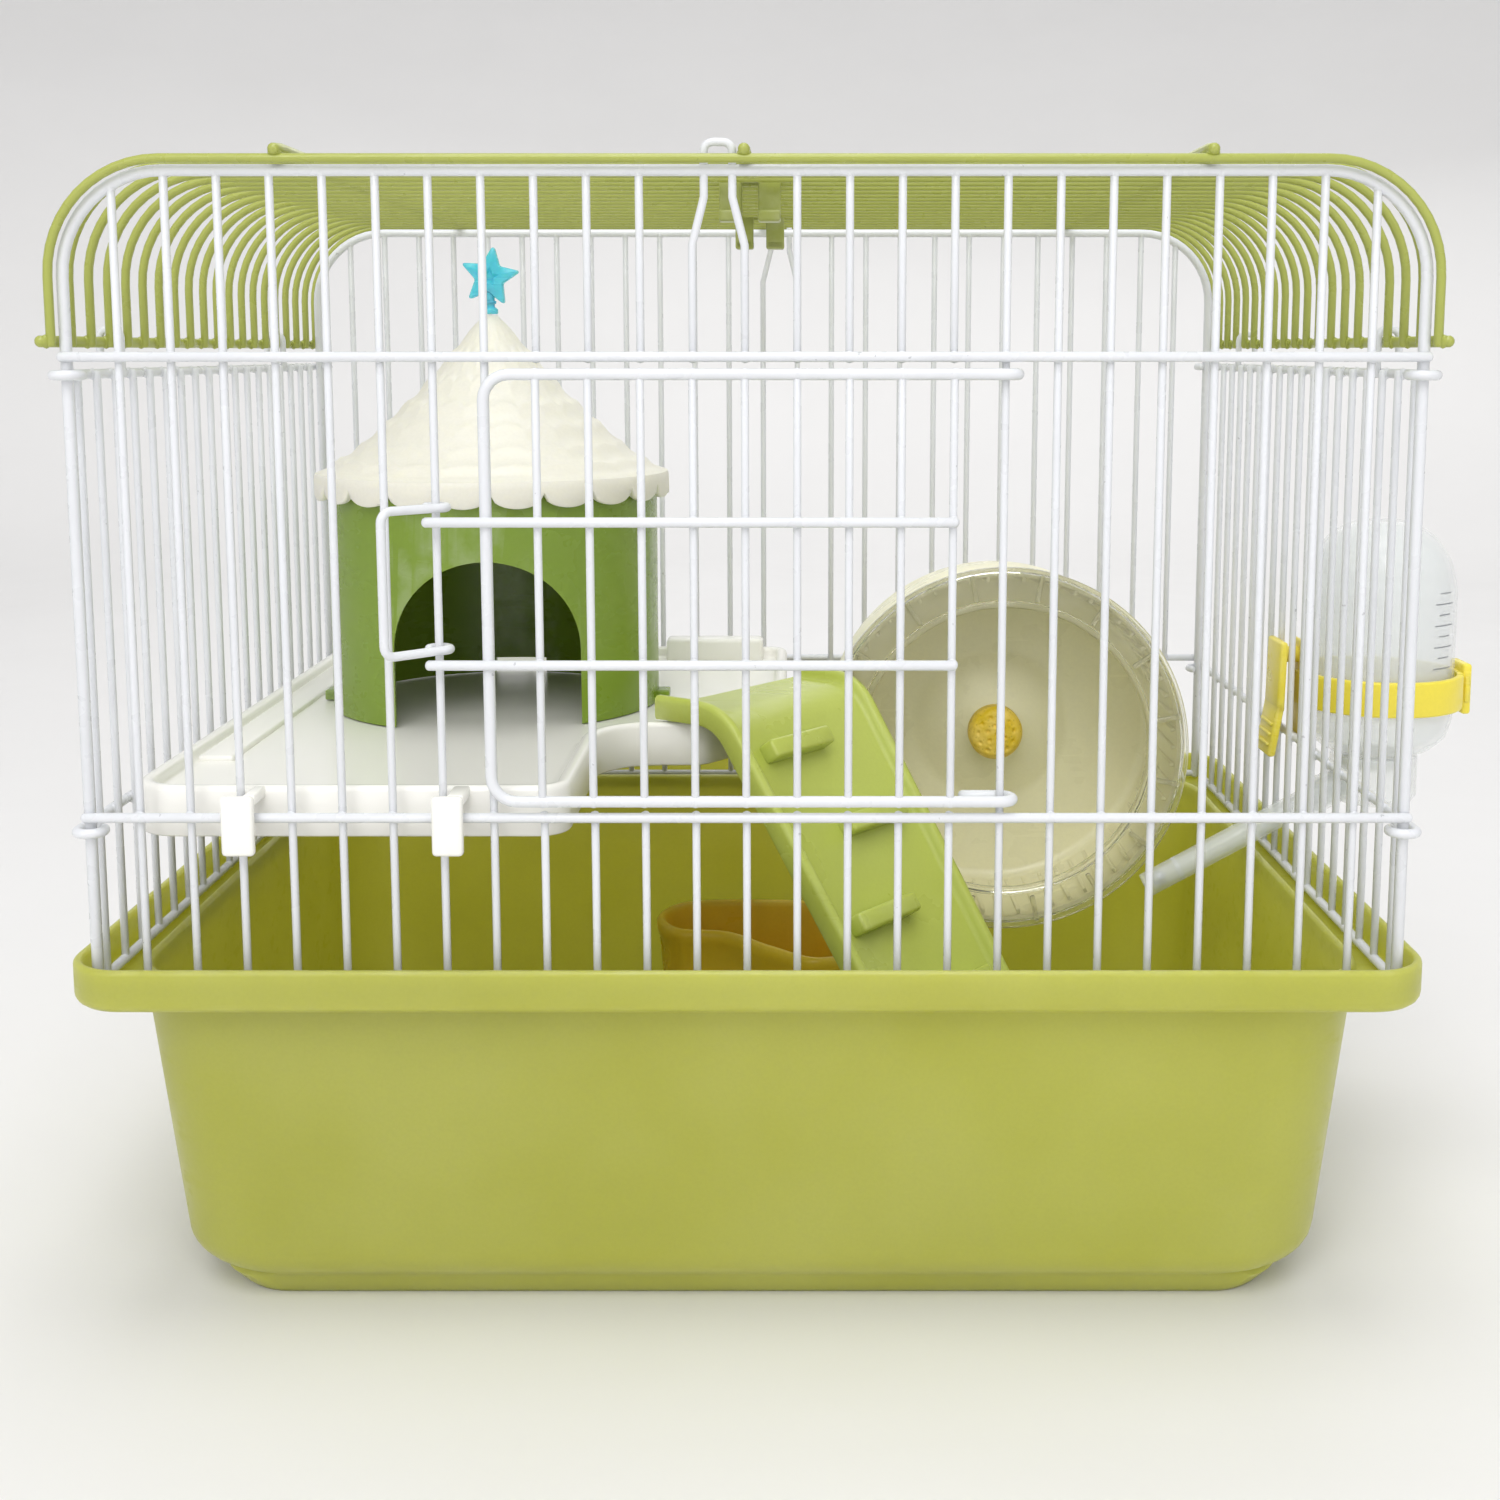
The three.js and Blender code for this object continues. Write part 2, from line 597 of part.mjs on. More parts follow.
// A concave cone with a straight brim. Every scallop is a shallow notch in the brim's lower edge.
function houseRoof() {
  const { brim, skirt, apex, scallops, scallopDepth, sides, inside, outside } = LID;
  const cone = turned([...inside, ...outside, [0, apex]], sides);
  const notches = [];
  for (let i = 0; i < scallops; i += 1) {
    const notch = new THREE.CylinderGeometry(scallopDepth, scallopDepth, 8, 4, 1);
    notch.scale(0.62, 1, 1).translate(0, brim, skirt);
    notch.rotateZ((2 * Math.PI * i) / scallops);
    notches.push(solidOf(notch));
  }
  return cone.subtract(join(notches)).translate([HOUSE.x, HOUSE.y, 0]);
}

function roofStar() {
  const shape = new THREE.Shape();
  for (let i = 0; i < 10; i += 1) {
    const angle = (Math.PI * i) / 5 + Math.PI / 2;
    const r = i % 2 === 0 ? STAR.radius : STAR.notch;
    if (i === 0) shape.moveTo(r * Math.cos(angle), r * Math.sin(angle));
    else shape.lineTo(r * Math.cos(angle), r * Math.sin(angle));
  }
  const geometry = new THREE.ExtrudeGeometry(shape, { depth: STAR.thick, bevelEnabled: false });
  geometry.translate(0, 0, -STAR.thick / 2).rotateZ(radians(-STAR.tilt));
  geometry.rotateX(Math.PI / 2).translate(0, 0, STAR.z);
  const base = LID.apex + GAP;
  const high = STAR.z - 2;
  const stem = turned([[0, base], [1.9, base], [1.9, base + 1.4], [1.1, base + 2], [1.1, high], [0, high]], 12);
  return solidOf(geometry).add(stem).translate([HOUSE.x, HOUSE.y, 0]);
}

// ---- Ladder -------------------------------------------------------------------------------------------

// Places down the ladder's middle line: distance out from its top edge, height, and pitch in degrees.
function ladderStations() {
  const { top, flat, bend, slope, end } = LADDER;
  const stations = [[0, top, 0]];
  const pieces = 5;
  for (let i = 0; i <= pieces; i += 1) {
    const angle = (slope * i) / pieces;
    const out = flat + bend * Math.sin(radians(angle));
    const height = top - bend * (1 - Math.cos(radians(angle)));
    stations.push([out, height, angle]);
  }
  const [out, height] = stations[stations.length - 1];
  const drop = height - end - 2.4;
  for (let i = 1; i <= 2; i += 1) {
    const share = i / 2;
    stations.push([out + (share * drop) / Math.tan(radians(slope)), height - share * drop, slope]);
  }
  return stations;
}

// A channel with upstanding edges, and step blocks set left and right by turns.
function ladder() {
  const { x, y, turn, slope, wideTop, wideEnd, steps, firstStep, stepPitch, stepSize } = LADDER;
  const stations = ladderStations();
  const length = stations[stations.length - 1][0];
  const rings = stations.map(([out, height, angle]) => {
    const half = wideTop + ((wideEnd - wideTop) * out) / length;
    const up = vec(Math.sin(radians(angle)), 0, Math.cos(radians(angle)));
    const section = [
      [half, -2.8], [half, 2.6], [half - 2.6, 3], [half - 3.8, 0], [3.8 - half, 0], [2.6 - half, 3],
      [-half, 2.6], [-half, -2.8], [2.2 - half, -2.8], [3 - half, -1.8], [half - 3, -1.8], [half - 2.2, -2.8],
    ];
    return section.map(([across, rise]) => vec(out, across, height).addScaledVector(up, rise));
  });
  const channel = loft(rings);
  const bendEnd = stations[6];
  const blocks = [];
  for (let i = 0; i < steps; i += 1) {
    const out = firstStep + stepPitch * i;
    const height = bendEnd[1] - (out - bendEnd[0]) * Math.tan(radians(slope));
    const sideways = i % 2 === 0 ? LADDER.stepLeft : LADDER.stepRight;
    const step = new THREE.BoxGeometry(...stepSize);
    step.translate(0, sideways, 1.9).rotateY(radians(slope)).translate(out, 0, height);
    blocks.push(solidOf(step));
  }
  return join([channel, ...blocks]).rotate([0, 0, turn]).translate([x, y, 0]);
}

// ---- Food bowl ----------------------------------------------------------------------------------------

// The bean-shaped outline at a height, moved in by an inset.
function bowlRing(z, inset) {
  const loop = new THREE.CatmullRomCurve3(BOWL.outline.map(([x, y]) => vec(x, y, 0)), true);
  const points = loop.getPoints(BOWL.points).slice(0, -1);
  const middle = vec(BOWL.middleX, BOWL.middleY, 0);
  const share = (z - BOWL.bottom) / (BOWL.top - BOWL.bottom);
  const grow = BOWL.taper + (1 - BOWL.taper) * share;
  return points.map((p, i) => {
    const before = points[(i + points.length - 1) % points.length];
    const after = points[(i + 1) % points.length];
    const inward = after.clone().sub(before).normalize().cross(vec(0, 0, -1));
    return p.clone().sub(middle).multiplyScalar(grow).addScaledVector(inward, -inset).add(middle).setZ(z);
  }).reverse();
}

function foodBowl() {
  const { bottom, top, wall } = BOWL;
  const floor = bottom + wall;
  const outside = loft([bowlRing(bottom, 2), bowlRing(bottom + 2, 0), bowlRing(top - 1, 0), bowlRing(top, 0.7)]);
  const inside = loft([bowlRing(floor, wall + 1.5), bowlRing(floor + 2, wall), bowlRing(top + 1, wall)]);
  return outside.subtract(inside);
}

// ---- Running wheel ------------------------------------------------------------------------------------

// Turns a body made about Z, with height as depth behind the wheel's front, onto the wheel's axis.
const onWheelAxis = (solid) => solid.rotate([-90, 0, 0]).translate([WHEEL.x, WHEEL.front, WHEEL.z]);

function wheelDrum() {
  const { radius, depth, wall, bore, sides } = WHEEL;
  const profile = [
    [bore, 25.5], [7, 25.5], [9.5, 27.5], [21, depth - wall], [radius - 4.6, depth - wall], [radius - 3, depth - 3],
    [radius - wall, 2], [radius, 2], [radius - 1.4, depth - 2.5], [radius - 3, depth], [22, depth], [7, depth - 3],
    [7, depth + 3], [bore, depth + 3], [bore, 25.5],
  ];
  return onWheelAxis(turned(profile, sides));
}

function wheelFrontRing() {
  const profile = [[37.3, 1.6], [37.3, 0.2], [46.5, -1], [48, -0.8], [48, 1.6], [37.3, 1.6]];
  const ring = turned(profile, WHEEL.sides);
  const ribs = [];
  for (let i = 0; i < WHEEL.ribs; i += 1) {
    const rib = new THREE.BoxGeometry(7.5, 1.4, 1.4);
    rib.translate(43, 0, -0.9).rotateZ((2 * Math.PI * (i + 0.5)) / WHEEL.ribs);
    ribs.push(solidOf(rib));
  }
  return onWheelAxis(join([ring, ...ribs]));
}

function wheelHubCap() {
  const profile = [[0, 22], [2.6, 22], [2.6, 25.2], [7.4, 25.2], [7.4, 22.6], [6.2, 20.2], [3.4, 18.8], [0, 18.4]];
  return onWheelAxis(turned(profile, 16));
}

function wheelAxle() {
  const { axle } = WHEEL;
  const rod = [[axle, 22.4], [axle, 39.6], [3.2, 39.6], [3.2, 41.2], [axle, 41.2], [axle, 50]];
  return onWheelAxis(turned([[0, 22.4], ...rod, [0, 50]], 12));
}

// A standoff clamped to the back panel. It carries the axle in a blind hole, and its stud goes out
// between two wires.
function wheelBracket() {
  const plateBack = CAGE.frontY - UPRIGHT / 2 - 0.4 - WHEEL.front;
  const profile = [
    [0, 51], [2.35, 51], [2.35, 41.8], [5.5, 41.8], [6.5, 52], [9, 62], [15, 67.5], [15, plateBack], [3, plateBack],
    [3, WHEEL.studEnd], [0, WHEEL.studEnd],
  ];
  return onWheelAxis(turned(profile, 16));
}

function wheelNut() {
  const low = CAGE.frontY + RAIL_STEP + RAIL / 2 + 0.5 - WHEEL.front;
  const high = WHEEL.nutEnd;
  const profile = [[3.5, low], [10.5, low], [10.5, high - 0.6], [9.8, high], [3.5, high], [3.5, low]];
  return onWheelAxis(turned(profile, 12));
}

// ---- Drinking bottle ----------------------------------------------------------------------------------

const atBottle = (solid) => solid.translate([BOTTLE.x, 0, 0]);

function bottle() {
  const { radius, wall, mouth, top, sides } = BOTTLE;
  const profile = [
    [0, top - wall], [6, top - 1.9], [11.4, top - 4.6], [15.4, 149.2], [radius - wall, 142], [radius - wall, 111.4],
    [15.6, 107], [12.2, 104.1], [6.8, 102.4], [6.8, mouth], [8.2, mouth], [8.2, 101.2], [12.8, 102.6], [16.8, 106],
    [radius, 111], [radius, 142.5], [16.6, 150], [12.2, top - 3.3], [6.4, top - 0.5], [0, top],
  ];
  return atBottle(turned(profile, sides));
}

// A tube between two points in the plane Y = 0, given as [x, z].
function slantedRod([x0, z0], [x1, z1], radius, sides) {
  const length = Math.hypot(x1 - x0, z1 - z0);
  const geometry = new THREE.CylinderGeometry(radius, radius, length, sides);
  geometry.rotateZ(Math.atan2(z1 - z0, x1 - x0) - Math.PI / 2).rotateX(Math.PI / 2);
  geometry.translate((x0 + x1) / 2, 0, (z0 + z1) / 2);
  return solidOf(geometry);
}

// A point on the spout's line, a distance up from its lower end.
function onSpout(distance) {
  const [x0, z0] = SPOUT.end;
  const [x1, z1] = SPOUT.start;
  const length = Math.hypot(x1 - x0, z1 - z0);
  return [x0 + ((x1 - x0) * distance) / length, z0 + ((z1 - z0) * distance) / length];
}

const SPOUT_LENGTH = Math.hypot(SPOUT.start[0] - SPOUT.end[0], SPOUT.start[1] - SPOUT.end[1]);

function bottleCap() {
  const floor = BOTTLE.mouth - 1.6;
  const outside = [[0, 89], [9, 89], [10.6, 91], [10.6, 101]];
  const cup = atBottle(turned([...outside, [8.6, 101], [8.6, floor], [0, floor]], 16));
  const elbow = slantedRod(onSpout(SPOUT_LENGTH - 13), onSpout(SPOUT_LENGTH - 1), 4.3, 12);
  const bore = slantedRod(onSpout(SPOUT_LENGTH - 20), onSpout(SPOUT_LENGTH + 0.4), SPOUT.radius + 0.45, 12);
  const water = block([BOTTLE.x - 6.5, -2, 93.5], [BOTTLE.x, 2, floor + 1]);
  return cup.add(elbow).subtract(bore).subtract(water);
}

function capSeal() {
  const high = BOTTLE.mouth - GAP;
  const low = high - 1;
  return atBottle(turned([[5, low], [8.1, low], [8.1, high], [5, high], [5, low]], 16));
}

function bottleSpout() {
  const outside = slantedRod(SPOUT.end, SPOUT.start, SPOUT.radius, 14);
  const bore = slantedRod(onSpout(SPOUT.tip), onSpout(SPOUT_LENGTH + 1), SPOUT.bore, 12);
  const tip = slantedRod(onSpout(-1), onSpout(SPOUT.tip + 1), 1.4, 10);
  return outside.subtract(bore).subtract(tip);
}

function spoutBall() {
  const [x, z] = onSpout(SPOUT.tip + SPOUT.ball + 0.3);
  const geometry = new THREE.SphereGeometry(SPOUT.ball, 10, 6);
  geometry.translate(x, 0, z);
  return solidOf(geometry);
}

// The holder's ring round the bottle, its plate outside the panel and the flange on its far side.
function bottleHolder() {
  const { ringLow, ringHigh, x, radius } = BOTTLE;
  const inner = radius + 0.5;
  const outer = inner + 1.7;
  const band = [[inner, ringLow], [outer, ringLow], [outer, ringHigh], [inner, ringHigh], [inner, ringLow]];
  const ring = atBottle(turned(band, 24));
  const back = block([133.8, -9, 104.8], [135, 9, 129.5]);
  const flange = block([x + outer - 0.6, -5, ringLow - 2], [x + outer + 1.6, 5, ringHigh + 2]);
  const hole = new THREE.CylinderGeometry(2.5, 2.5, 6, 12).rotateZ(Math.PI / 2);
  hole.translate(134.4, 0, BOTTLE.studZ);
  return join([ring, back, flange]).subtract(solidOf(hole));
}

// The plate inside the panel. Its stud passes between two wires into the outer plate.
function holderInnerPlate() {
  const face = CAGE.sideX - UPRIGHT / 2 - 0.4;
  const pad = block([face - 2.4, -9, 100], [face, 9, 129.5]);
  const root = face - 1;
  const tip = 134.9;
  const stud = new THREE.CylinderGeometry(2, 2, tip - root, 12).rotateZ(Math.PI / 2);
  stud.translate((tip + root) / 2, 0, BOTTLE.studZ);
  return pad.add(solidOf(stud));
}

// ---- Assembly -----------------------------------------------------------------------------------------

const cage = new THREE.Group();

function addPart(name, solid, color, roughness = 0.45, metalness = 0, opacity = 1) {
  const transparent = opacity < 1;
  const material = new THREE.MeshStandardMaterial({ color, roughness, metalness, opacity, transparent });
  const mesh = new THREE.Mesh(geometryOf(solid), material);
  mesh.name = name;
  cage.add(mesh);
}

addPart('tray', tray(), COLOURS.trayGreen, 0.4);
addPart('front_panel', endPanel(1, true), COLOURS.white, 0.35);
addPart('back_panel', endPanel(-1, false), COLOURS.white, 0.35);
addPart('left_panel', sidePanel(-1), COLOURS.white, 0.35);
addPart('right_panel', sidePanel(1), COLOURS.white, 0.35);
addPart('roof_grille', roofGrille(), COLOURS.roofGreen, 0.4);
addPart('carry_handle', carryHandle(), COLOURS.roofGreen, 0.4);
addPart('door', door(), COLOURS.white, 0.35);
addPart('door_latch', doorLatch(), COLOURS.white, 0.35);
addPart('platform', platform(), COLOURS.ivory, 0.45);
addPart('house_body', houseBody(), COLOURS.houseGreen, 0.4);
addPart('house_roof', houseRoof(), COLOURS.ivory, 0.45);
addPart('roof_star', roofStar(), COLOURS.cyan, 0.2, 0, 0.8);
addPart('ladder', ladder(), COLOURS.lime, 0.4);
addPart('food_bowl', foodBowl(), COLOURS.orange, 0.35);
addPart('wheel_drum', wheelDrum(), COLOURS.cream, 0.4);
addPart('wheel_front_ring', wheelFrontRing(), COLOURS.clear, 0.1, 0, 0.35);
addPart('wheel_hub_cap', wheelHubCap(), COLOURS.amber, 0.4);
addPart('wheel_axle', wheelAxle(), COLOURS.steel, 0.3, 0.9);
addPart('wheel_bracket', wheelBracket(), COLOURS.cream, 0.45);
addPart('wheel_nut', wheelNut(), COLOURS.cream, 0.45);
addPart('bottle', bottle(), COLOURS.clear, 0.1, 0, 0.35);
addPart('bottle_cap', bottleCap(), COLOURS.clear, 0.15, 0, 0.35);
addPart('cap_seal', capSeal(), COLOURS.ivory, 0.7);
addPart('bottle_spout', bottleSpout(), COLOURS.clear, 0.1, 0, 0.35);
addPart('spout_ball', spoutBall(), COLOURS.steel, 0.2, 0.9);
addPart('bottle_holder', bottleHolder(), COLOURS.yellow, 0.4);
addPart('holder_inner_plate', holderInnerPlate(), COLOURS.yellow, 0.4);

export default cage;
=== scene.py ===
"""Visual model of a hamster cage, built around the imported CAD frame.

A welded wire cage with a barred roof stands in the rim of a deep tray. Inside are a platform with a round
house, a ladder, a running wheel and a food bowl, and a drinking bottle hangs outside the right panel.
Shapes are drawn in millimetres and written out in metres. +X is right, the front faces -Y and +Z is up.
"""

from __future__ import annotations

import logging
import math
from collections.abc import Callable, Sequence
from dataclasses import dataclass, field
from enum import Enum

import bmesh
import bpy
from mathutils import Matrix, Vector, noise

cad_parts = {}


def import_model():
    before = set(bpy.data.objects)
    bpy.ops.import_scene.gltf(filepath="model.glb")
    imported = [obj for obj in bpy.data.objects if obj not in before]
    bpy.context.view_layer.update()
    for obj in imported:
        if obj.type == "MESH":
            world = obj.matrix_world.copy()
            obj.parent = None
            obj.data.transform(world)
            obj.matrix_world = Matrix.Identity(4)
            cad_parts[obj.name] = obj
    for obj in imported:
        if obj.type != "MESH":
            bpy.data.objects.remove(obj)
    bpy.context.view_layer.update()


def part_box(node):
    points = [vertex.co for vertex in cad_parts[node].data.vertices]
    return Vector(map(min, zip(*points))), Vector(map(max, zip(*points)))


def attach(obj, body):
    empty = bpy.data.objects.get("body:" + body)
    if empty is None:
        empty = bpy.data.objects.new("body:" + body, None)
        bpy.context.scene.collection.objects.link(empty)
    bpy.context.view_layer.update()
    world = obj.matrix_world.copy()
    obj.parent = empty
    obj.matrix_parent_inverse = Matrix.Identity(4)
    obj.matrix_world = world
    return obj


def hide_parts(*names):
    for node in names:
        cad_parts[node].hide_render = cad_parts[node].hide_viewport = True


LOG = logging.getLogger("hamster_cage")

MM = 0.001
PITCH = 10.0
UPRIGHT_R = 0.8
RAIL_R = 1.0
FRAME_R = 1.15
ROOF_R = 0.9
LATCH_R = 0.9
RAIL_STEP = 1.5
WIRE_SIDES = 12
WIDE_SIDES = 128
ROUND_SIDES = 96
THIN_SIDES = 48
DOME = ((0.0, 0.35), (0.2, 0.75), (0.6, 1.0))

Colour = tuple[float, float, float]
Ring = list[Vector]
Socket = bpy.types.NodeSocket


class Side(Enum):
    """Which side of the cage a panel closes."""

    FRONT = "front"
    BACK = "back"
    LEFT = "left"
    RIGHT = "right"

    @property
    def sign(self) -> float:
        """Give the side's direction along its own axis."""
        return -1.0 if self in (Side.FRONT, Side.LEFT) else 1.0


# ---- Places, colour and curves


def middle(node: str) -> Vector:
    """Give the middle of a CAD node's box, in millimetres."""
    return sum((Vector(corner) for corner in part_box(node)), Vector()) / (2 * MM)


def highest(node: str) -> Vector:
    """Give the highest corner of a CAD node's box, in millimetres."""
    return Vector(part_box(node)[1]) / MM


def lowest(node: str) -> Vector:
    """Give the lowest corner of a CAD node's box, in millimetres."""
    return Vector(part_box(node)[0]) / MM


def linear(red: int, green: int, blue: int) -> Colour:
    """Turn display values into linear light.

    Args:
        red: Red, 0 to 255.
        green: Green, 0 to 255.
        blue: Blue, 0 to 255.

    Returns:
        The three linear values.
    """
    values = []
    for value in (red, green, blue):
        share = value / 255
        values.append(share / 12.92 if share <= 0.04045 else ((share + 0.055) / 1.055) ** 2.4)
    return tuple(values)


def rounded(
    corners: Sequence[Vector], radius: float | Sequence[float], pieces: int = 6, closed: bool = False,
) -> Ring:
    """Round every corner of a line through points.

    Args:
        corners: The points. The ends of an open line stay as they are.
        radius: One radius for all corners, or one for each point.
        pieces: Steps in each rounded corner.
        closed: Whether the last point joins the first.

    Returns:
        The points of the rounded line.
    """
    count = len(corners)
    radii = [radius] * count if isinstance(radius, (int, float)) else list(radius)
    stops: Ring = []
    for i, corner in enumerate(corners):
        if radii[i] <= 0 or (not closed and i in (0, count - 1)):
            stops.append(corner.copy())
            continue
        back = (corners[i - 1] - corner).normalized()
        onward = (corners[(i + 1) % count] - corner).normalized()
        half = back.angle(onward) / 2
        if half > math.pi / 2 - 0.01:
            stops.append(corner.copy())
            continue
        setback = radii[i] / math.tan(half)
        centre = corner + (back + onward).normalized() * (radii[i] / math.sin(half))
        start = corner + back * setback - centre
        end = corner + onward * setback - centre
        sweep = math.pi - 2 * half
        for k in range(pieces + 1):
            share = k / pieces
            arm = start * math.sin((1 - share) * sweep) + end * math.sin(share * sweep)
            stops.append(centre + arm / math.sin(sweep))
    return stops


def level_arc(centre: Vector, radius: float, start: float, end: float, pieces: int) -> Ring:
    """Give points on a level arc.

    Args:
        centre: The arc's centre.
        radius: Its radius.
        start: First angle in degrees from +X.
        end: Last angle in degrees.
        pieces: Steps along the arc.

    Returns:
        The points, first to last.
    """
    stops = []
    for i in range(pieces + 1):
        angle = math.radians(start + (end - start) * i / pieces)
        stops.append(centre + Vector((radius * math.cos(angle), radius * math.sin(angle), 0)))
    return stops


def round_rectangle(half_x: float, half_y: float, radius: float, z: float, pieces: int = 10) -> Ring:
    """Give a level rounded rectangle about the Z axis.

    Args:
        half_x: Half its size along X.
        half_y: Half its size along Y.
        radius: Corner radius.
        z: Height.
        pieces: Steps in each corner.

    Returns:
        The outline, anticlockwise from above.
    """
    ring = []
    for sign_x, sign_y, start in ((1, 1, 0), (-1, 1, 90), (-1, -1, 180), (1, -1, 270)):
        centre = Vector((sign_x * (half_x - radius), sign_y * (half_y - radius), z))
        ring += level_arc(centre, radius, start, start + 90, pieces)
    return ring


def hoop(half: float, foot: float, top: float, y: float) -> Ring:
    """Give the corners of an upright open-footed frame across the cage."""
    return [Vector((x, y, z)) for x, z in ((-half, foot), (-half, top), (half, top), (half, foot))]


# ---- Meshes under construction


class Workpiece:
    """A mesh under construction, in millimetres."""

    def __init__(self) -> None:
        """Start with an empty mesh."""
        self.bm = bmesh.new()

    def loft(self, rings: Sequence[Ring], fill_start: bool = True, fill_end: bool = True) -> None:
        """Extrude a closed outline through a row of outlines with equally many points.

        Args:
            rings: The outlines in order.
            fill_start: Whether the first outline is closed with a face.
            fill_end: Whether the last outline is closed with a face.
        """
        verts = [self.bm.verts.new(point) for point in rings[0]]
        edges = [self.bm.edges.new((verts[i - 1], verts[i])) for i in range(len(verts))]
        if fill_start:
            self.bm.faces.new(verts)
        for ring in rings[1:]:
            made = bmesh.ops.extrude_edge_only(self.bm, edges=edges)["geom"]
            fresh = {item for item in made if isinstance(item, bmesh.types.BMVert)}
            following = []
            for old, point in zip(verts, ring):
                new = next(e.other_vert(old) for e in old.link_edges if e.other_vert(old) in fresh)
                new.co = point
                following.append(new)
            verts = following
            edges = [self.bm.edges.get((verts[i - 1], verts[i])) for i in range(len(verts))]
        if fill_end:
            self.bm.faces.new(verts)

    def sweep(self, stops: Sequence[Vector], radius: float) -> None:
        """Draw a round wire with domed ends along a line.

        Args:
            stops: The wire's centre line.
            radius: The wire's radius.
        """
        tangents = []
        for i in range(len(stops)):
            before = stops[max(i - 1, 0)]
            after = stops[min(i + 1, len(stops) - 1)]
            arriving = (stops[i] - before).normalized()
            leaving = (after - stops[i]).normalized()
            tangents.append((arriving + leaving).normalized())
        stations = [(point, tangent, 1.0) for point, tangent in zip(stops, tangents)]
        for index, sign in ((0, 1), (-1, -1)):
            point, tangent, _ = stations[index]
            dome = [(point + sign * tangent * radius * along, tangent, size) for along, size in DOME]
            stations = dome + stations[1:] if sign > 0 else stations[:-1] + dome[::-1]
        side = stations[0][1].orthogonal().normalized()
        rings = []
        for point, tangent, size in stations:
            side = (side - tangent * side.dot(tangent)).normalized()
            across = tangent.cross(side)
            turns = [2 * math.pi * k / WIRE_SIDES for k in range(WIRE_SIDES)]
            rings.append([point + (side * math.cos(a) + across * math.sin(a)) * radius * size for a in turns])
        self.loft(rings)

    def line(self, start: Sequence[float], end: Sequence[float], radius: float) -> None:
        """Draw a straight wire between two points, with domed ends."""
        self.sweep([Vector(start), Vector(end)], radius)

    def turn(self, profile: Sequence[Sequence[float]], sides: int, place: Matrix | None = None) -> None:
        """Spin a profile about the Z axis.

        Args:
            profile: Radius and height of each point, and a third value that rounds that corner. The profile
                starts and ends on the axis, or closes on itself.
            sides: Steps round the axis.
            place: Where the turned body goes.
        """
        corners = [Vector((p[0], 0, p[1])) for p in profile]
        radii = [p[2] if len(p) > 2 else 0.0 for p in profile]
        closed = profile[0][0] > 0
        points = rounded(corners, radii, 4, closed)
        piece = bmesh.new()
        verts = [piece.verts.new(point) for point in points]
        pairs = list(zip(verts, verts[1:])) + ([(verts[-1], verts[0])] if closed else [])
        edges = [piece.edges.new(pair) for pair in pairs]
        bmesh.ops.spin(
            piece, geom=verts + edges, cent=(0, 0, 0), axis=(0, 0, 1), dvec=(0, 0, 0),
            angle=2 * math.pi, steps=sides, use_merge=True, use_duplicate=False,
        )
        bmesh.ops.remove_doubles(piece, verts=piece.verts, dist=0.002)
        if place is not None:
            bmesh.ops.transform(piece, matrix=place, verts=piece.verts)
        self.take(piece)

    def block(
        self, low: Sequence[float], high: Sequence[float], bevel: float = 0.4, place: Matrix | None = None,
    ) -> None:
        """Add a box with rounded edges.

        Args:
            low: Lowest corner.
            high: Highest corner.
            bevel: Edge radius.
            place: A transform applied after the box is made.
        """
        piece = bmesh.new()
        bmesh.ops.create_cube(piece, size=1)
        size = [b - a for a, b in zip(low, high)]
        middle = [(a + b) / 2 for a, b in zip(low, high)]
        bmesh.ops.scale(piece, vec=size, verts=piece.verts)
        bmesh.ops.translate(piece, vec=middle, verts=piece.verts)
        if bevel > 0:
            bmesh.ops.bevel(
                piece, geom=list(piece.edges), offset=bevel, segments=3, profile=0.5, affect="EDGES",
                material=-1,
            )
        if place is not None:
            bmesh.ops.transform(piece, matrix=place, verts=piece.verts)
        self.take(piece)

    def bead(self, centre: Sequence[float], size: Sequence[float]) -> None:
        """Add a small ellipsoid, such as the lump of paint over a weld.

        Args:
            centre: Its middle.
            size: Its three half sizes.
        """
        piece = bmesh.new()
        bmesh.ops.create_uvsphere(piece, u_segments=8, v_segments=5, radius=1)
        bmesh.ops.scale(piece, vec=size, verts=piece.verts)
        bmesh.ops.translate(piece, vec=centre, verts=piece.verts)
        self.take(piece)

    def move(self, place: Matrix) -> None:
        """Move the whole mesh by a transform."""
        bmesh.ops.transform(self.bm, matrix=place, verts=self.bm.verts)

    def take(self, piece: bmesh.types.BMesh) -> None:
        """Move another mesh's geometry into this one.

        Args:
            piece: The other mesh, which is freed.
        """
        bmesh.ops.recalc_face_normals(piece, faces=piece.faces)
        held = bpy.data.meshes.new("held")
        piece.to_mesh(held)
        piece.free()
        self.bm.from_mesh(held)
        bpy.data.meshes.remove(held)

    def shape(self, move: Callable[[Vector], Vector]) -> None:
        """Move every vertex by a rule.

        Args:
            move: Gives a vertex its new place.
        """
        for vert in self.bm.verts:
            vert.co = move(vert.co)

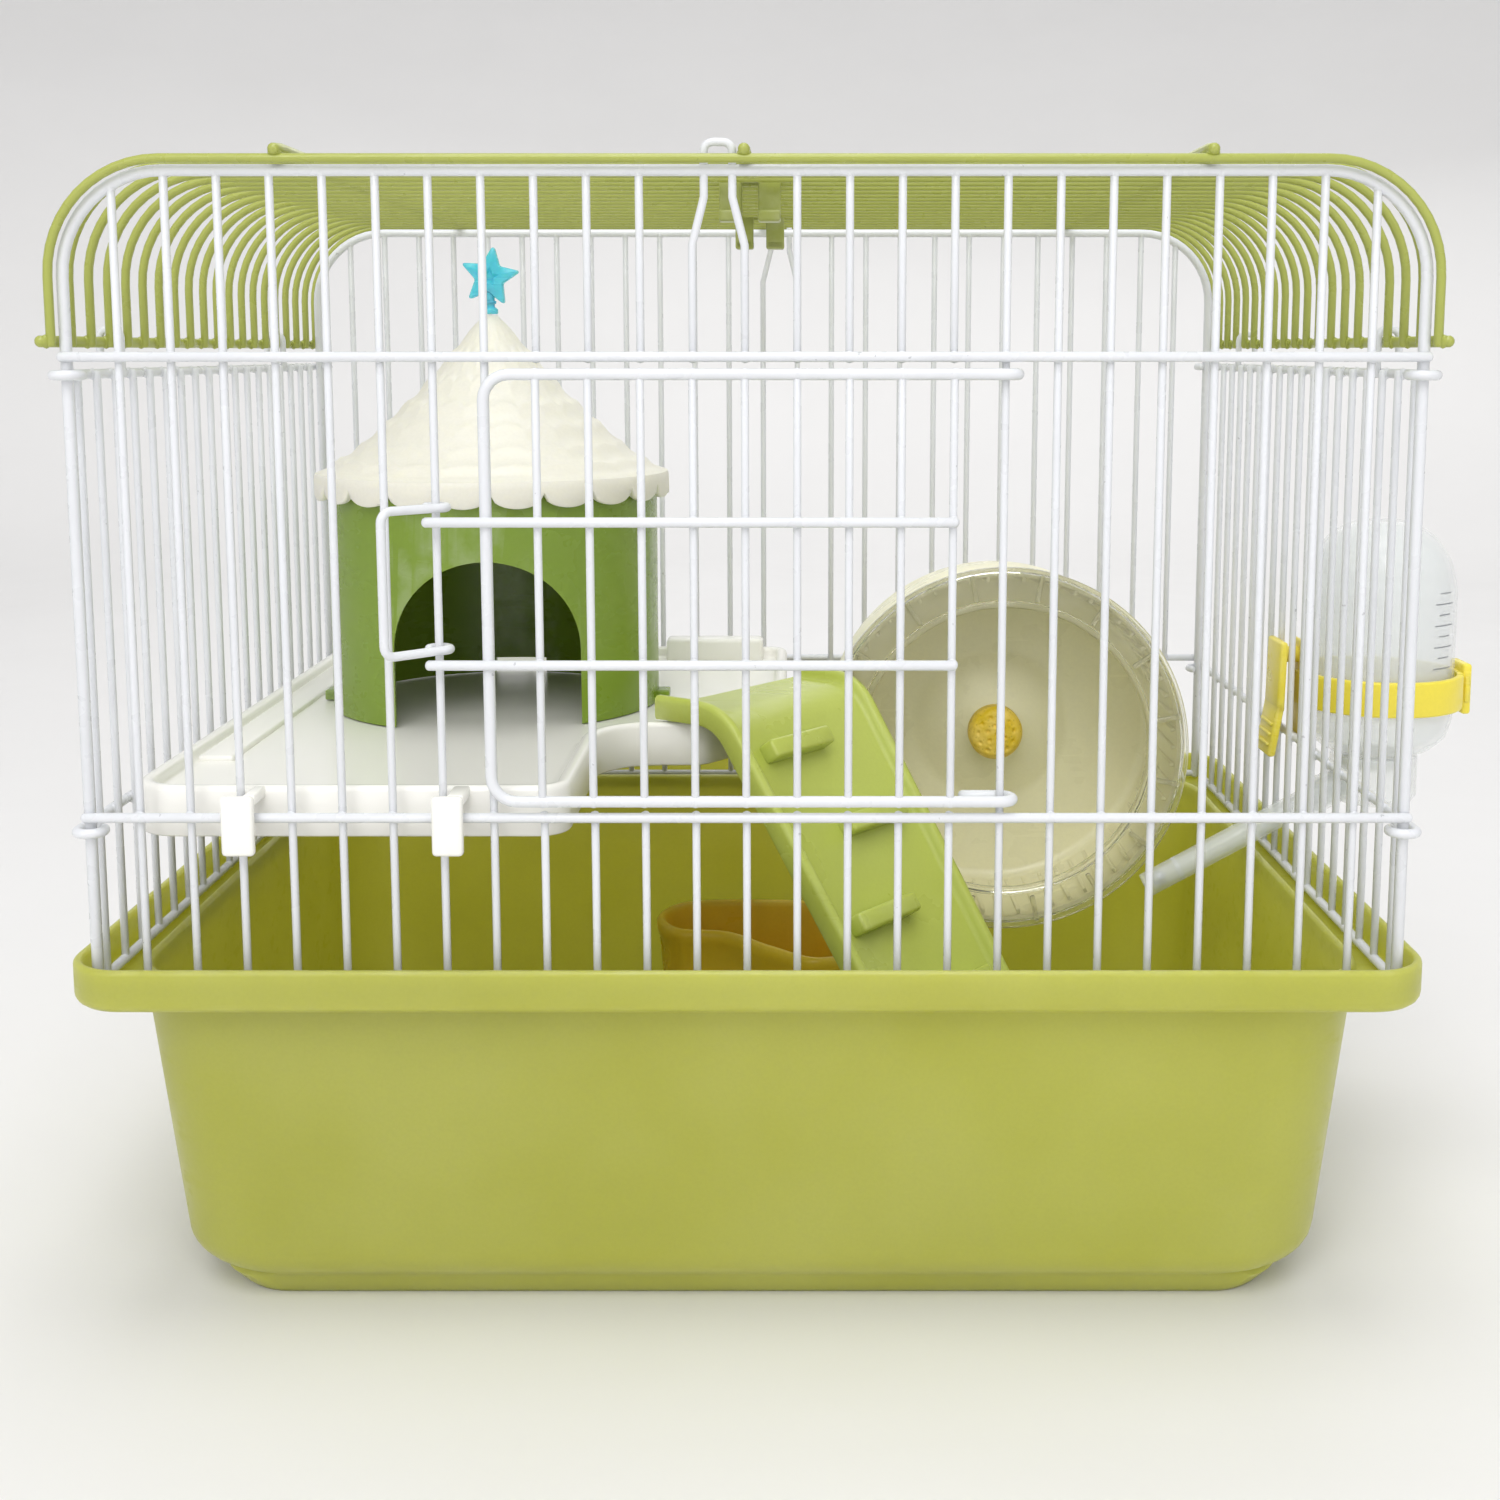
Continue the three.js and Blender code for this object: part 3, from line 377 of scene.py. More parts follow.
    def cut(self, tool: Workpiece) -> None:
        """Cut another shape out of this one.

        Args:
            tool: The shape to cut away. It is used up.
        """
        body = self._held("cut_body")
        cutter = tool._held("cut_tool")
        modifier = body.modifiers.new("cut", "BOOLEAN")
        modifier.operation = "DIFFERENCE"
        modifier.solver = "EXACT"
        modifier.object = cutter
        graph = bpy.context.evaluated_depsgraph_get()
        result = bpy.data.meshes.new_from_object(body.evaluated_get(graph))
        self.bm = bmesh.new()
        self.bm.from_mesh(result)
        for item in (body, cutter):
            mesh = item.data
            bpy.data.objects.remove(item)
            bpy.data.meshes.remove(mesh)
        bpy.data.meshes.remove(result)

    def _held(self, name: str) -> bpy.types.Object:
        """Put the mesh in a linked object so that a modifier can use it."""
        bmesh.ops.recalc_face_normals(self.bm, faces=self.bm.faces)
        mesh = bpy.data.meshes.new(name)
        self.bm.to_mesh(mesh)
        self.bm.free()
        item = bpy.data.objects.new(name, mesh)
        bpy.context.scene.collection.objects.link(item)
        bpy.context.view_layer.update()
        return item

    def piece(
        self,
        name: str,
        finish: Finish,
        body: str,
        nodes: Sequence[str],
        slot: str,
        bevel: float = 0.0,
        smooth: float = 40.0,
    ) -> bpy.types.Object:
        """Write the mesh out as a finished piece of the object.

        Args:
            name: The piece's name.
            finish: Its surface.
            body: The CAD body it rides on.
            nodes: The CAD nodes it stands for.
            slot: Meant as a material slot name; not used.
            bevel: Radius that a modifier gives to sharp edges, or 0 for none.
            smooth: Edges sharper than this many degrees stay sharp.

        Returns:
            The new object.
        """
        bmesh.ops.recalc_face_normals(self.bm, faces=self.bm.faces)
        bmesh.ops.scale(self.bm, vec=(MM, MM, MM), verts=self.bm.verts)
        mesh = bpy.data.meshes.new(name)
        self.bm.to_mesh(mesh)
        self.bm.free()
        mesh.shade_smooth()
        mesh.set_sharp_from_angle(angle=math.radians(smooth))
        item = bpy.data.objects.new(name, mesh)
        bpy.context.scene.collection.objects.link(item)
        mesh.materials.append(finish.material())
        if bevel > 0:
            modifier = item.modifiers.new("soft_edges", "BEVEL")
            modifier.width = bevel * MM
            modifier.segments = 3
            modifier.limit_method = "ANGLE"
            modifier.angle_limit = math.radians(50)
            modifier.harden_normals = False
        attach(item, body)
        if nodes:
            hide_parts(*nodes)
        LOG.info("%s: %d faces, rides on %s", name, len(mesh.polygons), body)
        return item


# ---- Finishes


class NodeDesk:
    """Lays out the nodes of one material."""

    def __init__(self, name: str) -> None:
        """Start a material with its shader and the object's own coordinates.

        Args:
            name: The material's name.
        """
        self.material = bpy.data.materials.new(name)
        self.material.use_nodes = True
        self.tree = self.material.node_tree
        self.shader = self.tree.nodes["Principled BSDF"]
        self.place = self.add("ShaderNodeTexCoord").outputs["Object"]

    def add(self, kind: str, **settings: object) -> bpy.types.Node:
        """Add a node.

        Args:
            kind: The node's type.
            settings: Properties to set on it.

        Returns:
            The node.
        """
        node = self.tree.nodes.new(kind)
        for key, value in settings.items():
            setattr(node, key, value)
        return node

    def feed(self, target: Socket, source: object) -> None:
        """Link a socket to another, or give it a fixed value."""
        if isinstance(source, Socket):
            self.tree.links.new(source, target)
        else:
            target.default_value = source

    def noise(self, scale: float, detail: float = 3.0, stretch: Sequence[float] | None = None) -> Socket:
        """Give a noise pattern.

        Args:
            scale: Features per metre.
            detail: Octaves.
            stretch: Scale along each axis, or None for an even pattern.

        Returns:
            The value socket, about 0.3 to 0.7.
        """
        node = self.add("ShaderNodeTexNoise")
        node.inputs["Scale"].default_value = scale
        node.inputs["Detail"].default_value = detail
        source = self.place
        if stretch is not None:
            mapping = self.add("ShaderNodeMapping")
            mapping.inputs["Scale"].default_value = stretch
            self.feed(mapping.inputs["Vector"], self.place)
            source = mapping.outputs["Vector"]
        self.feed(node.inputs["Vector"], source)
        return node.outputs["Fac"]

    def cells(self, scale: float) -> Socket:
        """Give the distance to the middle of the nearest of many scattered cells."""
        node = self.add("ShaderNodeTexVoronoi")
        node.inputs["Scale"].default_value = scale
        self.feed(node.inputs["Vector"], self.place)
        return node.outputs["Distance"]

    def span(self, value: Socket, low: float, high: float, start: float, end: float) -> Socket:
        """Map a range of values onto another.

        Args:
            value: The socket to map.
            low: Its value that gives start.
            high: Its value that gives end.
            start: Lowest result.
            end: Highest result.

        Returns:
            The mapped socket.
        """
        node = self.add("ShaderNodeMapRange")
        for key, number in (("From Min", low), ("From Max", high), ("To Min", start), ("To Max", end)):
            node.inputs[key].default_value = number
        self.feed(node.inputs["Value"], value)
        return node.outputs["Result"]

    def mix(self, share: Socket, first: object, second: object) -> Socket:
        """Mix two colours.

        Args:
            share: How much of the second.
            first: A colour or a colour socket.
            second: A colour or a colour socket.

        Returns:
            The mixed colour socket.
        """
        node = self.add("ShaderNodeMix", data_type="RGBA")
        self.feed(node.inputs["Factor"], share)
        for socket, colour in ((node.inputs[6], first), (node.inputs[7], second)):
            self.feed(socket, colour if isinstance(colour, Socket) else (*colour, 1.0))
        return node.outputs[2]

    def sums(self, operation: str, first: object, second: object) -> Socket:
        """Combine two values with a maths node."""
        node = self.add("ShaderNodeMath", operation=operation)
        self.feed(node.inputs[0], first)
        self.feed(node.inputs[1], second)
        return node.outputs[0]

    def relief(self, *layers: tuple[Socket, float]) -> None:
        """Put layers of bump on the shader.

        Args:
            layers: Height sockets, each with its depth in millimetres.
        """
        previous = None
        for height, depth in layers:
            bump = self.add("ShaderNodeBump")
            bump.inputs["Strength"].default_value = 1.0
            bump.inputs["Distance"].default_value = depth * MM
            self.feed(bump.inputs["Height"], height)
            if previous is not None:
                self.feed(bump.inputs["Normal"], previous)
            previous = bump.outputs["Normal"]
        self.feed(self.shader.inputs["Normal"], previous)


def blended(first: Colour, second: Colour, share: float) -> Colour:
    """Mix two colours by a share of the second."""
    return tuple(a + (b - a) * share for a, b in zip(first, second))


WHITE: Colour = (1.0, 1.0, 1.0)
BLACK: Colour = (0.0, 0.0, 0.0)


@dataclass(frozen=True)
class Finish:
    """A surface finish."""

    name: str
    colour: Colour

    def material(self) -> bpy.types.Material:
        """Give this finish's material, made on first use."""
        found = bpy.data.materials.get(self.name)
        return found if found is not None else self.make(NodeDesk(self.name))

    def make(self, desk: NodeDesk) -> bpy.types.Material:
        """Lay out the finish's nodes.

        Args:
            desk: The material to fill.

        Returns:
            The finished material.
        """
        raise NotImplementedError


@dataclass(frozen=True)
class MouldedPlastic(Finish):
    """Injection-moulded plastic: cloudy pigment, fine grain, scuffs, and edges rubbed paler."""

    roughness: float = 0.34
    cloud: float = 0.10
    scuff: float = 0.12
    glow: float = 0.0
    depth: float = 3.0
    passing: float = 0.0
    ripple: float = 0.12

    def make(self, desk: NodeDesk) -> bpy.types.Material:
        """Lay out the plastic's nodes.

        Args:
            desk: The material to fill.

        Returns:
            The finished material.
        """
        deep = blended(self.colour, BLACK, self.cloud)
        pale = blended(self.colour, WHITE, self.cloud * 0.6)
        body = desk.mix(desk.span(desk.noise(22, 2), 0.36, 0.64, 0, 1), deep, pale)
        grain = desk.noise(1300, 3)
        body = desk.mix(desk.span(grain, 0.35, 0.7, 0, 0.10), body, blended(self.colour, BLACK, 0.3))
        edge = desk.add("ShaderNodeNewGeometry").outputs["Pointiness"]
        patch = desk.span(desk.noise(140, 4), 0.42, 0.62, 0, 1)
        worn = desk.sums("MULTIPLY", desk.span(edge, 0.525, 0.6, 0, 0.22), patch)
        body = desk.mix(worn, body, blended(self.colour, WHITE, 0.45))
        desk.feed(desk.shader.inputs["Base Color"], body)
        scratch = desk.span(desk.noise(240, 2, (0.12, 1, 1.6)), 0.58, 0.68, 0, self.scuff)
        gloss = desk.span(desk.noise(55, 4), 0.3, 0.7, self.roughness - 0.07, self.roughness + 0.07)
        desk.feed(desk.shader.inputs["Roughness"], desk.sums("ADD", gloss, scratch))
        desk.relief((desk.noise(38, 1), self.ripple), (grain, 0.012))
        desk.shader.inputs["IOR"].default_value = 1.49
        desk.shader.inputs["Subsurface Weight"].default_value = self.glow
        desk.shader.inputs["Subsurface Radius"].default_value = (1.0, 0.95, 0.5)
        desk.shader.inputs["Subsurface Scale"].default_value = self.depth * MM
        desk.shader.inputs["Transmission Weight"].default_value = self.passing
        return desk.material


@dataclass(frozen=True)
class CoatedWire(Finish):
    """Steel wire under a thick dipped coating: orange-peel gloss, drips, and a few dark nicks."""

    roughness: float = 0.3

    def make(self, desk: NodeDesk) -> bpy.types.Material:
        """Lay out the coating's nodes.

        Args:
            desk: The material to fill.

        Returns:
            The finished material.
        """
        shade = desk.span(desk.noise(60, 2), 0.35, 0.65, 0, 1)
        body = desk.mix(shade, blended(self.colour, BLACK, 0.035), self.colour)
        nick = desk.span(desk.noise(620, 2), 0.745, 0.77, 0, 0.5)
        body = desk.mix(nick, body, blended(self.colour, BLACK, 0.55))
        desk.feed(desk.shader.inputs["Base Color"], body)
        gloss = desk.span(desk.noise(160, 3), 0.3, 0.7, self.roughness - 0.08, self.roughness + 0.12)
        desk.feed(desk.shader.inputs["Roughness"], gloss)
        desk.relief((desk.noise(300, 1), 0.05), (desk.noise(1800, 2), 0.008))
        desk.shader.inputs["Coat Weight"].default_value = 0.25
        desk.shader.inputs["Coat Roughness"].default_value = 0.12
        return desk.material


@dataclass(frozen=True)
class ClearPlastic(Finish):
    """Clear moulded plastic with flow marks and a haze of fine scratches."""

    roughness: float = 0.04
    haze: float = 0.10
    passing: float = 1.0
    index: float = 1.45

    def make(self, desk: NodeDesk) -> bpy.types.Material:
        """Lay out the clear plastic's nodes.

        Args:
            desk: The material to fill.

        Returns:
            The finished material.
        """
        shade = desk.span(desk.noise(35, 3), 0.35, 0.65, 0, 1)
        body = desk.mix(shade, blended(self.colour, BLACK, 0.03), self.colour)
        desk.feed(desk.shader.inputs["Base Color"], body)
        hazy = desk.span(desk.noise(70, 4), 0.45, 0.7, 0, self.haze)
        scratch = desk.span(desk.noise(300, 2, (1, 1, 0.1)), 0.6, 0.7, 0, self.haze)
        marks = desk.sums("ADD", hazy, scratch)
        desk.feed(desk.shader.inputs["Roughness"], desk.sums("ADD", marks, self.roughness))
        desk.relief((desk.noise(60, 2), 0.10), (desk.noise(900, 2), 0.006))
        desk.shader.inputs["IOR"].default_value = self.index
        desk.shader.inputs["Transmission Weight"].default_value = self.passing
        return desk.material


@dataclass(frozen=True)
class BiscuitPlastic(Finish):
    """Plastic moulded like a baked biscuit: toasted rim, pinholes, and pitted pores darkened with painted
    shade.
    """

    def make(self, desk: NodeDesk) -> bpy.types.Material:
        """Lay out the biscuit's nodes.

        Args:
            desk: The material to fill.

        Returns:
            The finished material.
        """
        toast = desk.span(desk.noise(260, 4), 0.35, 0.65, 0, 1)
        body = desk.mix(toast, blended(self.colour, BLACK, 0.12), blended(self.colour, WHITE, 0.12))
        pore_distance = desk.cells(900)
        # Painted shade: the colour darkens towards the middle of each pore, where the bump below sinks a pit.
        body = desk.mix(desk.span(pore_distance, 0.1, 0.3, 0.5, 0), body, blended(self.colour, BLACK, 0.45))
        desk.feed(desk.shader.inputs["Base Color"], body)
        desk.feed(desk.shader.inputs["Roughness"], desk.span(desk.noise(500, 3), 0.3, 0.7, 0.38, 0.58))
        desk.relief((pore_distance, 0.15), (desk.noise(1500, 3), 0.06))
        return desk.material


@dataclass(frozen=True)
class TurnedSteel(Finish):
    """Bright steel with turning marks and a little tarnish."""

    def make(self, desk: NodeDesk) -> bpy.types.Material:
        """Lay out the steel's nodes.

        Args:
            desk: The material to fill.

        Returns:
            The finished material.
        """
        tarnish = desk.span(desk.noise(180, 4), 0.4, 0.7, 0, 1)
        dull = blended(self.colour, BLACK, 0.3)
        desk.feed(desk.shader.inputs["Base Color"], desk.mix(tarnish, self.colour, dull))
        marks = desk.noise(900, 2, (1, 0.1, 1))
        desk.feed(desk.shader.inputs["Roughness"], desk.span(marks, 0.3, 0.7, 0.18, 0.36))
        desk.relief((marks, 0.01))
        desk.shader.inputs["Metallic"].default_value = 1.0
        return desk.material


@dataclass(frozen=True)
class StudioPaper(Finish):
    """The matt pale surface that the object stands on."""

    def make(self, desk: NodeDesk) -> bpy.types.Material:
        """Lay out the paper's nodes.

        Args:
            desk: The material to fill.

        Returns:
            The finished material.
        """
        shade = desk.span(desk.noise(6, 3), 0.35, 0.65, 0, 1)
        deep = blended(self.colour, BLACK, 0.015)
        desk.feed(desk.shader.inputs["Base Color"], desk.mix(shade, deep, self.colour))
        desk.feed(desk.shader.inputs["Roughness"], desk.span(desk.noise(30, 3), 0.3, 0.7, 0.55, 0.7))
        desk.relief((desk.noise(700, 3), 0.03))
        return desk.material


TRAY_GREEN = MouldedPlastic(
    "tray_green", linear(170, 172, 70), roughness=0.36, cloud=0.04, glow=0.8, depth=12.0,
)
WIRE_WHITE = CoatedWire("wire_white", linear(228, 230, 234))
ROOF_GREEN = CoatedWire("wire_green", linear(168, 175, 82))
HANDLE_GREEN = MouldedPlastic("handle_green", linear(160, 168, 70), roughness=0.36)
IVORY = MouldedPlastic("ivory_plastic", linear(241, 239, 217), roughness=0.38, cloud=0.03, glow=0.2)
LID_IVORY = MouldedPlastic("lid_ivory", linear(242, 239, 226), roughness=0.42, cloud=0.035, glow=0.2)
HOUSE_GREEN = MouldedPlastic("house_green", linear(124, 152, 34), roughness=0.27, cloud=0.03, glow=0.15)
STAR_CYAN = MouldedPlastic(
    "star_cyan", linear(92, 218, 242), roughness=0.2, cloud=0.06, glow=0.6, depth=5.0, passing=0.1,
)
LADDER_LIME = MouldedPlastic("ladder_lime", linear(192, 204, 92), roughness=0.3, cloud=0.05, glow=0.15)
BOWL_ORANGE = MouldedPlastic(
    "bowl_orange", linear(255, 212, 52), roughness=0.32, cloud=0.05, glow=0.5, depth=6.0,
)
CREAM = MouldedPlastic(
    "wheel_cream", linear(253, 249, 214), roughness=0.3, cloud=0.04, glow=0.05, depth=3.0,
)
HOLDER_YELLOW = MouldedPlastic("holder_yellow", linear(246, 226, 66), roughness=0.3, cloud=0.05, glow=0.25)
AMBER = BiscuitPlastic("hub_amber", linear(250, 214, 40))
CLEAR = ClearPlastic("clear_plastic", linear(240, 241, 242), roughness=0.02, haze=0.05)
CLEAR_RING = ClearPlastic("clear_ring", linear(253, 252, 240), roughness=0.02, haze=0.04, passing=0.9)
STEEL = TurnedSteel("turned_steel", linear(190, 192, 196))
SEAL_WHITE = MouldedPlastic("seal_rubber", linear(228, 228, 222), roughness=0.62, cloud=0.05)
INK = MouldedPlastic("scale_ink", linear(124, 128, 134), roughness=0.5, cloud=0.2)
PAPER = StudioPaper("studio_paper", linear(234, 233, 232))


# ---- Tray


@dataclass
class Tray:
    """The deep tub with its foot, drafted sides and the rim that the cage stands in."""

    foot_x: float = 111.0
    foot_y: float = 77.0
    foot_top: float = 4.5
    foot_radius: float = 12.0
    body_x: float = 121.7
    body_y: float = 84.2
    body_radius: float = 20.0
    draft: float = 0.0886
    fillet: float = 9.0
    wall: float = 2.0
    floor: float = 2.0
    step: float = 6.5
    ledge: float = 72.0
    bead: float = 74.0
    rim_radius: float = 12.0
    rim_low: float = 70.0
    rim_high: float = 79.0
    lip: float = 1.8
    finish: Finish = TRAY_GREEN

    def side(self, z: float, inset: float, corner_inset: float | None = None) -> Ring:
        """Give the drafted side's outline at a height.

        Args:
            z: The height.
            inset: How far it is moved in.
            corner_inset: What the corner radius loses, or None for the same.

        Returns:
            The outline.
        """
        spread = self.draft * (z - self.foot_top) - inset
        radius = max(self.body_radius - (inset if corner_inset is None else corner_inset), 4)
        return round_rectangle(self.body_x + spread, self.body_y + spread, radius, z)

    def rim(self, inset: float, z: float) -> Ring:
        """Give the rim's outline, moved in by an inset, at a height."""
        edge = highest("tray")
        return round_rectangle(edge.x - inset, edge.y - inset, self.rim_radius - inset, z)

    def build(self) -> None:
        """Build the tray as one shell, from its underside over the rim and down to its floor."""
        rings: list[Ring] = []
        for z, extra in ((0.0, -1.0), (0.25, -0.3), (0.9, 0.2), (self.foot_top, 2.0)):
            across = self.foot_x + extra + z * 0.3
            rings.append(round_rectangle(across, self.foot_y + extra, self.foot_radius, z))
        for angle in (30, 42, 54, 66, 78, 90):
            turn = math.radians(angle)
            z = self.foot_top + self.fillet * (1 - math.cos(turn))
            rings.append(self.side(z, self.fillet * (1 - math.sin(turn)), 0))
        rings += [self.side(30, 0), self.side(50, 0), self.side(66, 0)]
        rings += [self.side(69.3, -0.1), self.side(69.9, -0.8)]
        rings += [self.rim(3.4, self.rim_low)]
        for angle in (0, 25, 50, 70, 90):
            turn = math.radians(angle)
            rings.append(self.rim(2.5 * (1 - math.sin(turn)), self.rim_low + 2.5 * (1 - math.cos(turn))))
        over = (
            (0, 75.6), (0, 77.9), (0.12, 78.5), (0.45, 78.9), (0.9, self.rim_high), (1.35, 78.9),
            (1.68, 78.5), (self.lip, 77.9), (self.lip, 73.0), (self.lip + 0.3, 72.3),
            (self.lip + 0.9, self.ledge),
        )
        rings += [self.rim(inset, z) for inset, z in over]
        down = (
            (self.ledge, -0.7), (72.6, -0.1), (73.5, 0.3), (self.bead, 0.9), (73.7, 1.6),
            (73.0, self.wall), (50, self.wall), (30, self.wall),
        )
        rings += [self.side(z, inset) for z, inset in down]
        inner = self.fillet - self.wall
        for angle in (90, 75, 60, 45, 30):
            turn = math.radians(angle)
            z = self.step + inner * (1 - math.cos(turn))
            rings.append(self.side(z, self.wall + inner * (1 - math.sin(turn)), self.wall))
        for z, extra in ((6.4, 1.6), (5.6, 0.9), (3.4, 0.2), (2.5, -0.3), (2.1, -1.2), (self.floor, -2.4)):
            across, deep = self.foot_x + extra - 0.6, self.foot_y + extra - 1.6
            rings.append(round_rectangle(across, deep, self.foot_radius - self.wall, z))
        work = Workpiece()
        work.loft(rings)
        work.piece("tray_shell", self.finish, "tray", ["tray"], "tray_plastic", smooth=55)


# ---- Wire panels


@dataclass
class WirePanels:
    """The four white wire panels: a frame, uprights every 10 mm and the rails welded across them."""

    front_y: float = 92.5
    frame_x: float = 130.0
    foot: float = 72.4
    top: float = 234.0
    corner: float = 20.0
    upper: float = 199.0
    lower: float = 108.8
    bottom: float = 73.7
    doorway: float = 49.0
    loop_top: float = 239.2
    side_x: float = 131.1
    side_upper: float = 195.5
    side_lower: float = 105.8
    side_end: float = 85.0
    hook: float = 2.6
    roof_x: float = 133.5
    roof_z: float = 201.9
    finish: Finish = WIRE_WHITE

    def arch(self, x: float) -> float:
        """Give the height of the arched frame above a place across the panel."""
        past = abs(x) - (self.frame_x - self.corner)
        if past <= 0:
            return self.top
        return self.top - self.corner + math.sqrt(self.corner**2 - past**2)

    def loop(self, work: Workpiece, y: float, middle: float) -> None:
        """Draw the middle pair of wires, drawn together into a narrow loop above the frame.

        Args:
            work: The panel under construction.
            y: The panel's plane.
            middle: The pair's middle.
        """
        neck = 2.7
        left = [(-PITCH / 2, self.upper - 1), (-PITCH / 2, self.top - 14)]
        left += [(-neck, self.top - 5), (-neck, self.loop_top)]
        both = left + [(-x, z) for x, z in reversed(left)]
        corners = [Vector((middle + x, y, z)) for x, z in both]
        work.sweep(rounded(corners, 1.7, 4), UPRIGHT_R)

    def end_panel(self, side: Side, name: str) -> None:
        """Build the front or the back panel.

        Args:
            side: Which of the two.
            name: Its CAD node.
        """
        facing = side.sign
        y = facing * self.front_y
        rail_y = y + facing * RAIL_STEP
        work = Workpiece()
        work.sweep(rounded(hoop(self.frame_x, self.foot, self.top, y), self.corner, 12), FRAME_R)
        reach = self.frame_x + 1.2
        for z in (self.upper, self.lower):
            work.line((-reach, rail_y, z), (reach, rail_y, z), RAIL_R)
        work.line((-self.frame_x, y, self.bottom), (self.frame_x, y, self.bottom), RAIL_R)
        pair = (-PITCH, 0) if side is Side.FRONT else (0, PITCH)
        for step in range(-12, 13):
            x = step * PITCH
            high = self.upper if x in pair else self.arch(x)
            if side is Side.FRONT and abs(x) < self.doorway:
                work.line((x, y, self.bottom), (x, y, self.lower + 1), UPRIGHT_R)
                if x not in pair:
                    work.line((x, y, self.upper - 1), (x, y, high), UPRIGHT_R)
            else:
                work.line((x, y, self.bottom), (x, y, high), UPRIGHT_R)
            for z in (self.upper, self.lower):
                work.bead((x, (y + rail_y) / 2, z), (1.2, 0.75, 1.25))
            work.bead((x, y, self.bottom), (1.3, 1.1, 1.2))
            if x not in pair:
                work.bead((x, y, high - 0.3), (1.2, 1.2, 1.3))
        self.loop(work, y, sum(pair) / 2)
        work.piece(name + "_wires", self.finish, "cage", [name], "white_wire")

    def side_rail(self, work: Workpiece, sign: float, z: float) -> None:
        """Draw a side rail, hooked round the frame wires of the front and back panels at its ends.

        Args:
            work: The panel under construction.
            sign: -1 for the left panel, 1 for the right.
            z: The rail's height.
        """
        ends = [Vector((sign * self.frame_x, y, z)) for y in (-self.front_y, self.front_y)]
        if sign > 0:
            stops = level_arc(ends[0], self.hook, -240, 0, 14) + level_arc(ends[1], self.hook, 0, 240, 14)
        else:
            stops = level_arc(ends[0], self.hook, 60, -180, 14) + level_arc(ends[1], self.hook, 180, -60, 14)
        work.sweep(stops, RAIL_R)

    def side_panel(self, side: Side, name: str) -> None:
        """Build the left or the right panel.

        Args:
            side: Which of the two.
            name: Its CAD node.
        """
        sign = side.sign
        x = sign * self.side_x
        work = Workpiece()
        for z in (self.side_upper, self.side_lower):
            self.side_rail(work, sign, z)
        work.line((x, -self.side_end - 3, self.bottom), (x, self.side_end + 3, self.bottom), RAIL_R)
        count = int(2 * self.side_end / PITCH) + 1
        for step in range(count):
            y = -self.side_end + step * PITCH
            work.line((x, y, self.bottom), (x, y, self.side_upper + 0.8), UPRIGHT_R)
            for z in (self.side_upper, self.side_lower):
                work.bead((x + sign * 0.85, y, z), (0.75, 1.2, 1.25))
            work.bead((x, y, self.bottom), (1.1, 1.3, 1.2))
        for y in (-60.0, 60.0):
            inner = sign * (self.side_x + 0.4)
            outer = sign * (self.roof_x + 2.4)
            over = self.roof_z + 2.7
            points = [(inner, self.side_upper - 1), (inner, over), (outer, over), (outer, self.roof_z - 2.5)]
            work.sweep(rounded([Vector((px, y, pz)) for px, pz in points], 1.7, 4), UPRIGHT_R)
        work.piece(name + "_wires", self.finish, "cage", [name], "white_wire")

    def build(self) -> None:
        """Build the four panels."""
        self.end_panel(Side.FRONT, "front_panel")
        self.end_panel(Side.BACK, "back_panel")
        self.side_panel(Side.LEFT, "left_panel")
        self.side_panel(Side.RIGHT, "right_panel")


# ---- Roof and carry handle


@dataclass
class RoofGrille:
    """The green barred roof: arches across the cage, two end wires and three cross wires on top."""

    half_x: float = 131.8
    top: float = 236.0
    corner: float = 22.0
    end: float = 200.8
    end_x: float = 133.5
    end_z: float = 201.9
    cross: tuple[float, ...] = (-88.0, 0.0, 88.0)
    cross_z: float = 238.0
    half_y: float = 95.0
    finish: Finish = ROOF_GREEN

    def build(self) -> None:
        """Build the roof."""
        work = Workpiece()
        count = int(2 * self.half_y / PITCH) + 1
        for step in range(count):
            y = -self.half_y + step * PITCH
            work.sweep(rounded(hoop(self.half_x, self.end, self.top, y), self.corner, 12), ROOF_R)
            for sign in (-1, 1):
                work.bead((sign * (self.half_x + 0.9), y, self.end_z), (0.9, 1.4, 1.4))
            for x in self.cross:
                work.bead((x, y, self.cross_z - 1.0), (1.4, 1.2, 0.7))
        reach = self.half_y + 1.5
        for sign in (-1, 1):
            end_x = sign * self.end_x
            work.line((end_x, -reach, self.end_z), (end_x, reach, self.end_z), FRAME_R)
        for x in self.cross:
            dip = self.cross_z - 0.45
            level = self.half_y - 4
            stops = [(-reach, dip), (-level, self.cross_z), (level, self.cross_z), (reach, dip)]
            work.sweep([Vector((x, y, z)) for y, z in stops], FRAME_R)
        work.piece("roof_wires", self.finish, "cage", ["roof_grille"], "green_wire")


